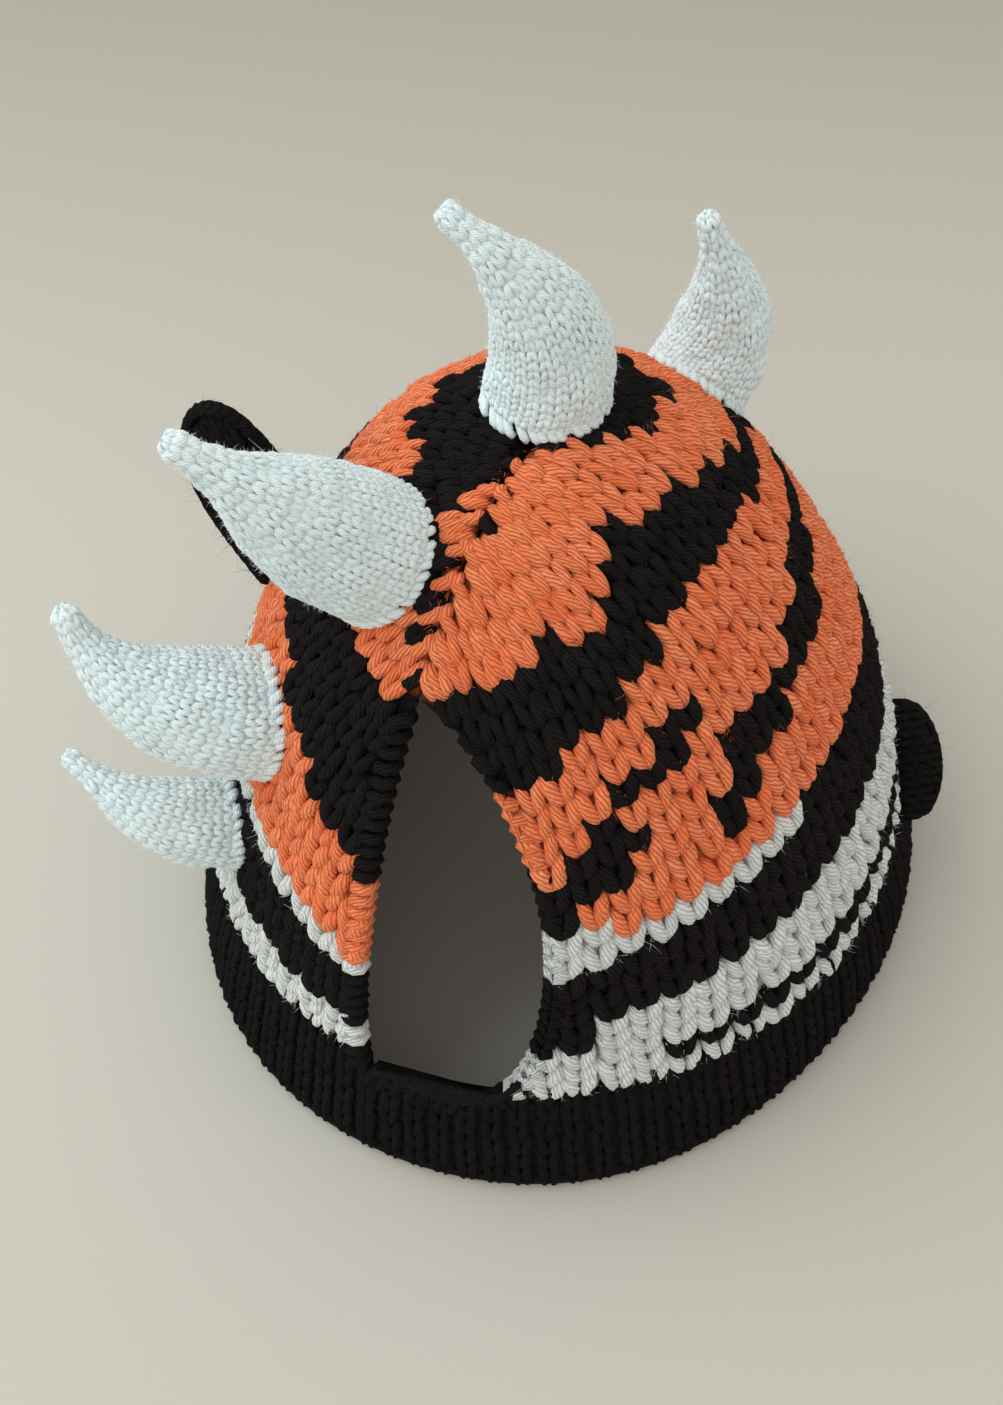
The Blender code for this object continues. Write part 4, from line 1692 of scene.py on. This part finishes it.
    def padding(self) -> bpy.types.Object:
        """Make the padded body under the stitches.

        Returns:
            The padding's piece.
        """
        turn = np.linspace(0.0, math.pi, 25)
        shares = np.array([0.25, 0.5, 0.7, 0.85, 0.95])[:, None]
        trim = 1.0 - 0.9 * self.core_inset / self.reach
        run = 0.5 * self.width * np.cos(turn) * shares * trim
        rise = self.reach * np.sin(turn) ** self.roundness * shares * trim
        inset = max(-self.core_inset, -0.3 * self.thickness)
        front, back = (self.face(run, rise, hand, inset) for hand in (1, -1))
        wide, far = run[-1:] * 1.03, rise[-1:] * 1.03
        rim = 0.5 * self.face(wide, far, 1, 0.0) + 0.5 * self.face(wide, far, -1, 0.0)
        rings = np.concatenate([front, rim, back[::-1]], axis=0)
        levels, around = rings.shape[:2]
        walls = wall_faces(levels, around, closed=False)
        first, last = np.arange(around)[None, ::-1], np.arange(around)[None, :] + (levels - 1) * around
        step = np.arange(levels)
        ends = np.concatenate([step * around, (step * around + around - 1)[::-1]])[None, :]
        tint, winding = np.full(levels * around, PADDING_TINT), np.zeros((levels * around, 2))
        polygons = [walls, first, last, ends]
        piece = make_mesh(
            self.name + "_padding", rings.reshape(-1, 3), polygons, BLACK_YARN.material(), tint, winding
        )
        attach(piece, "root")
        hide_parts(self.name)
        return piece

    def build(self) -> None:
        """Pad and knit the flap."""
        self.padding()
        knit = YarnWork(self.name + "_stitches", sides=6, seed=self.seed)
        self.lay_stitches(knit)
        self.lay_rim(knit)
        knit.build(BLACK_YARN.material(), "flap_knit")


@dataclass
class Fuzz:
    """The loose fibres that stand off the yarn."""

    seed: int = 77
    thickness: float = 0.035 * MM
    down_thickness: float = 0.055 * MM
    long_share: float = 0.06
    panel_count: int = 27000
    horn_count: int = 5600
    flap_count: int = 420

    def lean(
        self,
        rng: np.random.Generator,
        normals: Array,
        upright: tuple[float, float],
        stray: float,
        least: float,
    ) -> Array:
        """Draw the directions that fibres lean in.

        Args:
            rng: The source of the random draws.
            normals: Directions away from the cloth.
            upright: The least and most share of the normal.
            stray: How far the fibres stray from it.
            least: How far they rise from the cloth at least.

        Returns:
            One direction for each fibre.
        """
        straight = normals * rng.uniform(*upright, (len(normals), 1))
        lean = unit(straight + stray * rng.normal(0.0, 1.0, normals.shape))
        return unit(lean + np.maximum(0.0, least - np.sum(lean * normals, axis=1, keepdims=True)) * normals)

    def lay(self, work: YarnWork, roots: Array, normals: Array, longest: float) -> None:
        """Grow one bent fibre from each root.

        Args:
            work: The yarn work that gathers the fibres.
            roots: Points on the yarn.
            normals: Directions away from the cloth.
            longest: The longest fibre's length.
        """
        rng = np.random.default_rng(self.seed + len(roots))
        lean = self.lean(rng, normals, (0.25, 1.1), 0.8, 0.15)
        curl = np.cross(lean, rng.normal(0.0, 1.0, roots.shape))
        length = longest * rng.uniform(0.25, 1.0, (len(roots), 1, 1)) ** 1.6
        t = np.array([0.0, 0.5, 1.0])[None, :, None]
        path = roots[:, None] + length * (t * lean[:, None] + 0.45 * t * t * curl[:, None])
        path[..., 2] = np.maximum(path[..., 2], 0.3 * MM)
        radius = self.thickness * np.array([1.0, 0.8, 0.3])
        work.lay(path, normals[:, None], radius, rng.uniform(0.0, 1.0, len(roots)))

    def down(
        self, name: str, roots: Array, normals: Array, longest: float, finish: HairFinish
    ) -> None:
        """Grow a close down of short straight fibres, each a closed three-sided spike.

        Args:
            name: The piece's name.
            roots: Points on the yarn.
            normals: Directions away from the cloth.
            longest: The longest fibre's length.
            finish: The fibres' finish.
        """
        count = len(roots)
        if not count:
            return
        rng = np.random.default_rng(self.seed + 3 * count)
        lean = self.lean(rng, normals, (0.1, 0.9), 0.6, 0.1)
        side = unit(np.cross(lean, normals + 0.3 * rng.normal(0.0, 1.0, roots.shape)))
        turns = math.tau * np.arange(3) / 3
        ring = spokes(turns, side[:, None], np.cross(lean, side)[:, None])
        feet = roots[:, None] + self.down_thickness * ring
        tips = roots + longest * rng.uniform(0.3, 1.0, (count, 1)) ** 1.5 * lean
        points = np.concatenate([feet, tips[:, None]], axis=1).reshape(-1, 3)
        points[:, 2] = np.maximum(points[:, 2], 0.25 * MM)
        corners = np.array([[0, 1, 3], [1, 2, 3], [2, 0, 3], [2, 1, 0]])
        faces = (4 * np.arange(count)[:, None, None] + corners).reshape(-1, 3)
        tint = np.repeat(rng.uniform(0.0, 1.0, count), 4)
        piece = make_mesh(name, points, [faces], finish.material(), tint)
        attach(piece, "root")

    def cover(
        self,
        name: str,
        roots: Array,
        normals: Array,
        longest: tuple[float, float],
        finish: HairFinish,
        slot: str,
    ) -> None:
        """Grow long fibres from the first roots and close down from all the rest.

        Args:
            name: The start of the pieces' names.
            roots: Points on the yarn.
            normals: Directions away from the cloth.
            longest: The longest fibre's length, of the long ones and of the down.
            finish: The fibres' finish.
            slot: A material slot's name, handed on to the long fibres' yarn work.
        """
        long = int(self.long_share * len(roots))
        work = YarnWork(name + "_fibres", sides=3, twist=SINGLE, arc=math.tau)
        self.lay(work, roots[:long], normals[:long], longest[0])
        work.build(finish.material(), slot)
        self.down(name + "_down", roots[long:], normals[long:], longest[1], finish)

    def on_panel(self, panel: Panel) -> None:
        """Grow fibres over a panel in its own yarns.

        Args:
            panel: The panel.
        """
        rng = np.random.default_rng(panel.seed + 31)
        count = self.panel_count
        share = rng.uniform(-1.0, 1.0, count)
        length = rng.uniform(2.0 * MM, panel.dome.crown_length - 4.0 * MM, count)
        quarter = panel.dome.quarter_at(length)
        keep = rng.uniform(0.0, 1.0, count) < quarter / quarter.max()
        share, z = share[keep], panel.dome.height_at(length[keep])
        low, high = panel.limits(z)
        inside = (share > low) & (share < high)
        share, z = share[inside], z[inside]
        place = panel.fabric.chart_place(share, panel.dome.length_at(z))
        roots, normals = panel.on_skin(share, z, -0.4 * MM)
        for yarn, chosen in panel.chart.masks_and_rib(*place).items():
            name, hair = f"{panel.name}_{yarn.value}", HAIR_FINISHES[yarn]
            self.cover(name, roots[chosen], normals[chosen], (4.5 * MM, 2.8 * MM), hair, "body_knit")

    def on_horn(self, horn: Horn) -> None:
        """Grow fibres over a horn.

        Args:
            horn: The horn.
        """
        rng = np.random.default_rng(horn.seed + 31)
        count = self.horn_count
        along, angle = rng.uniform(0.0, 0.99, count), rng.uniform(0.0, math.tau, count)
        keep = rng.uniform(0.0, 1.0, count) < 0.3 + horn.radius(along) / horn.base_radius
        roots, normals = horn.skin(along[keep], angle[keep], -0.2 * MM)
        self.cover(horn.name, roots, normals, (3.5 * MM, 1.9 * MM), WHITE_HAIR, "horn_knit")

    def on_flap(self, flap: Flap) -> None:
        """Grow fibres over both faces of a flap.

        Args:
            flap: The flap.
        """
        rng = np.random.default_rng(flap.seed + 31)
        count = self.flap_count
        run = rng.uniform(-0.5, 0.5, count) * flap.width
        rise = rng.uniform(0.0, 1.0, count) * flap.reach
        inside = flap.share(run, rise) < 0.98
        run, rise = run[inside], rise[inside]
        work = YarnWork(f"{flap.name}_fibres", sides=3, twist=SINGLE, arc=math.tau)
        for hand in (-1, 1):
            roots = flap.face(run, rise, hand, -0.2 * MM)
            normals = unit(hand * flap.axes[3] + 0.4 * rng.normal(0.0, 1.0, roots.shape))
            self.lay(work, roots, normals, 5.0 * MM)
        work.build(BLACK_HAIR.material(), "flap_knit")


def placement(turn: Array, place: Array) -> Matrix:
    """A placement from three axes in columns and a point.

    Args:
        turn: The three axes, one a column.
        place: The origin's place.

    Returns:
        The placement.
    """
    whole = np.eye(4)
    whole[:3, :3] = turn
    whole[:3, 3] = place
    return Matrix(whole.tolist())


@dataclass(frozen=True)
class Lamp:
    """A soft area light, aimed at the cosy."""

    name: str
    place: Triple
    size: float
    power: float
    colour: Triple


@dataclass(frozen=True)
class Studio:
    """The pale card, the soft light and the camera."""

    floor_size: float = 30.0
    camera_place: Triple = (0.12609, -0.20179, 0.43823)
    right: Triple = (0.86793, 0.49277, -0.06226)
    up: Triple = (-0.38557, 0.74753, 0.54086)
    back: Triple = (0.31306, -0.44542, 0.8388)
    lens: float = 43.56
    sky: Triple = (1.0, 0.985, 0.96)
    sky_strength: float = 0.92
    aim: Triple = (0.0, 0.0, 0.08)
    lamps: tuple[Lamp, ...] = (
        Lamp("window_light", (-0.85, -0.30, 1.0), 1.9, 13.2, (0.84, 0.95, 1.0)),
    )

    def lay_floor(self) -> None:
        """Lay the card that the cosy stands on."""
        half = 0.5 * self.floor_size
        corners = np.array([[-half, -half, 0.0], [half, -half, 0.0], [half, half, 0.0], [-half, half, 0.0]])
        card = make_mesh("floor_card", corners, [np.array([[0, 1, 2, 3]])], FloorFinish().material())

    def hang_lamps(self, centre: Triple) -> None:
        """Set up the lamps and the even light from all round.

        Args:
            centre: The middle of the dome's foot.
        """
        for lamp in self.lamps:
            light = bpy.data.lights.new(lamp.name, "AREA")
            light.shape = "DISK"
            light.size = lamp.size
            light.energy = lamp.power
            light.color = lamp.colour
            holder = bpy.data.objects.new(lamp.name, light)
            back = unit(np.array(lamp.place) - np.array(self.aim))
            side = unit(np.cross(UP, back))
            turn = np.stack([side, np.cross(back, side), back], axis=1)
            holder.matrix_world = placement(turn, np.array(lamp.place) + np.array(centre))
            bpy.context.scene.collection.objects.link(holder)
        world = bpy.data.worlds.new("even_light")
        world.use_nodes = True
        sky = world.node_tree.nodes["Background"]
        sky.inputs["Color"].default_value = (*self.sky, 1.0)
        sky.inputs["Strength"].default_value = self.sky_strength
        bpy.context.scene.world = world

    def set_camera(self, centre: Triple) -> None:
        """Put the camera up and make it the scene's own.

        Args:
            centre: The middle of the dome's foot.
        """
        data = bpy.data.cameras.new("camera")
        data.lens = self.lens
        data.sensor_fit = "AUTO"
        data.sensor_width = 36.0
        camera = bpy.data.objects.new("camera", data)
        turn = np.array([self.right, self.up, self.back]).T
        camera.matrix_world = placement(turn, np.array(self.camera_place) + np.array(centre))
        bpy.context.scene.collection.objects.link(camera)
        bpy.context.scene.camera = camera
        bpy.context.scene.view_settings.view_transform = "Standard"


@dataclass
class Cosy:
    """The whole tea cosy."""

    dome: Dome = Dome()

    def panels(self) -> list[Panel]:
        """The two half panels.

        Returns:
            The right panel and the left one.
        """
        spout = Slot(15.0, 1)
        return [
            Panel("panel_right", Fabric(self.dome, 1), Chart(RIGHT_STRIPES), Slot(30.0, 2), spout, 11),
            Panel("panel_left", Fabric(self.dome, -1), Chart(LEFT_STRIPES), Slot(3.0, 0), spout, 12),
        ]

    def horns(self) -> list[Horn]:
        """The five horns.

        Returns:
            The horns, one for each row of sizes.
        """
        straight = (0.0, 0.0, 0.0)
        rows = (
            ("horn_crown", 105.0, 83.8, 0.0134, (0.22, 0.1, 0.0), (-0.019, 0.003, 0.223), (-0.8, 0.05, 0.5)),
            ("horn_back", 77.0, 53.0, 0.0126, straight, (0.011, 0.057, 0.19), (-0.4, 0.05, 0.9)),
            ("horn_upper", 238.0, 66.5, 0.0154, straight, (-0.045, -0.057, 0.206), (-0.8, -0.2, 0.55)),
            ("horn_middle", 229.6, 27.5, 0.0154, straight, (-0.082, -0.068, 0.144), (-0.45, 0.3, 0.84)),
            ("horn_lower", 229.7, -3.0, 0.0114, (0.0, 0.0, 0.1), (-0.091, -0.079, 0.091), (-0.85, 0.1, 0.4)),
        )
        return [Horn(*row, self.dome, 40 + place) for place, row in enumerate(rows)]

    def flaps(self) -> list[Flap]:
        """The ear and the side pad.

        Returns:
            The two flaps.
        """
        rows = (
            ("ear", 203.5, 45.5, 82.0, 0.041, 0.046, 0.0075, 42.0, 0.55),
            ("side_pad", 28.0, -18.5, 41.0, 0.034, 0.0110, 0.0120, 0.0, 0.80),
        )
        return [Flap(*row, self.dome, 60 + place) for place, row in enumerate(rows)]

    def build(self) -> None:
        """Knit and sew every piece."""
        fuzz = Fuzz()
        for panel in self.panels():
            cloth, *stitches = panel.build()
            quarter = float(self.dome.profile[2][0])
            float(self.dome.profile[1][-1])
            fuzz.on_panel(panel)
        for horn in self.horns():
            horn.build()
            fuzz.on_horn(horn)
        for flap in self.flaps():
            flap.build()
            fuzz.on_flap(flap)


def main() -> None:
    """Build the cosy and its studio."""
    logging.basicConfig(level=logging.INFO, format="%(message)s")
    cosy = Cosy()
    studio = Studio()
    studio.set_camera(cosy.dome.centre)
    studio.lay_floor()
    studio.hang_lamps(cosy.dome.centre)
    cosy.build()


if __name__ == "__main__":
    main()
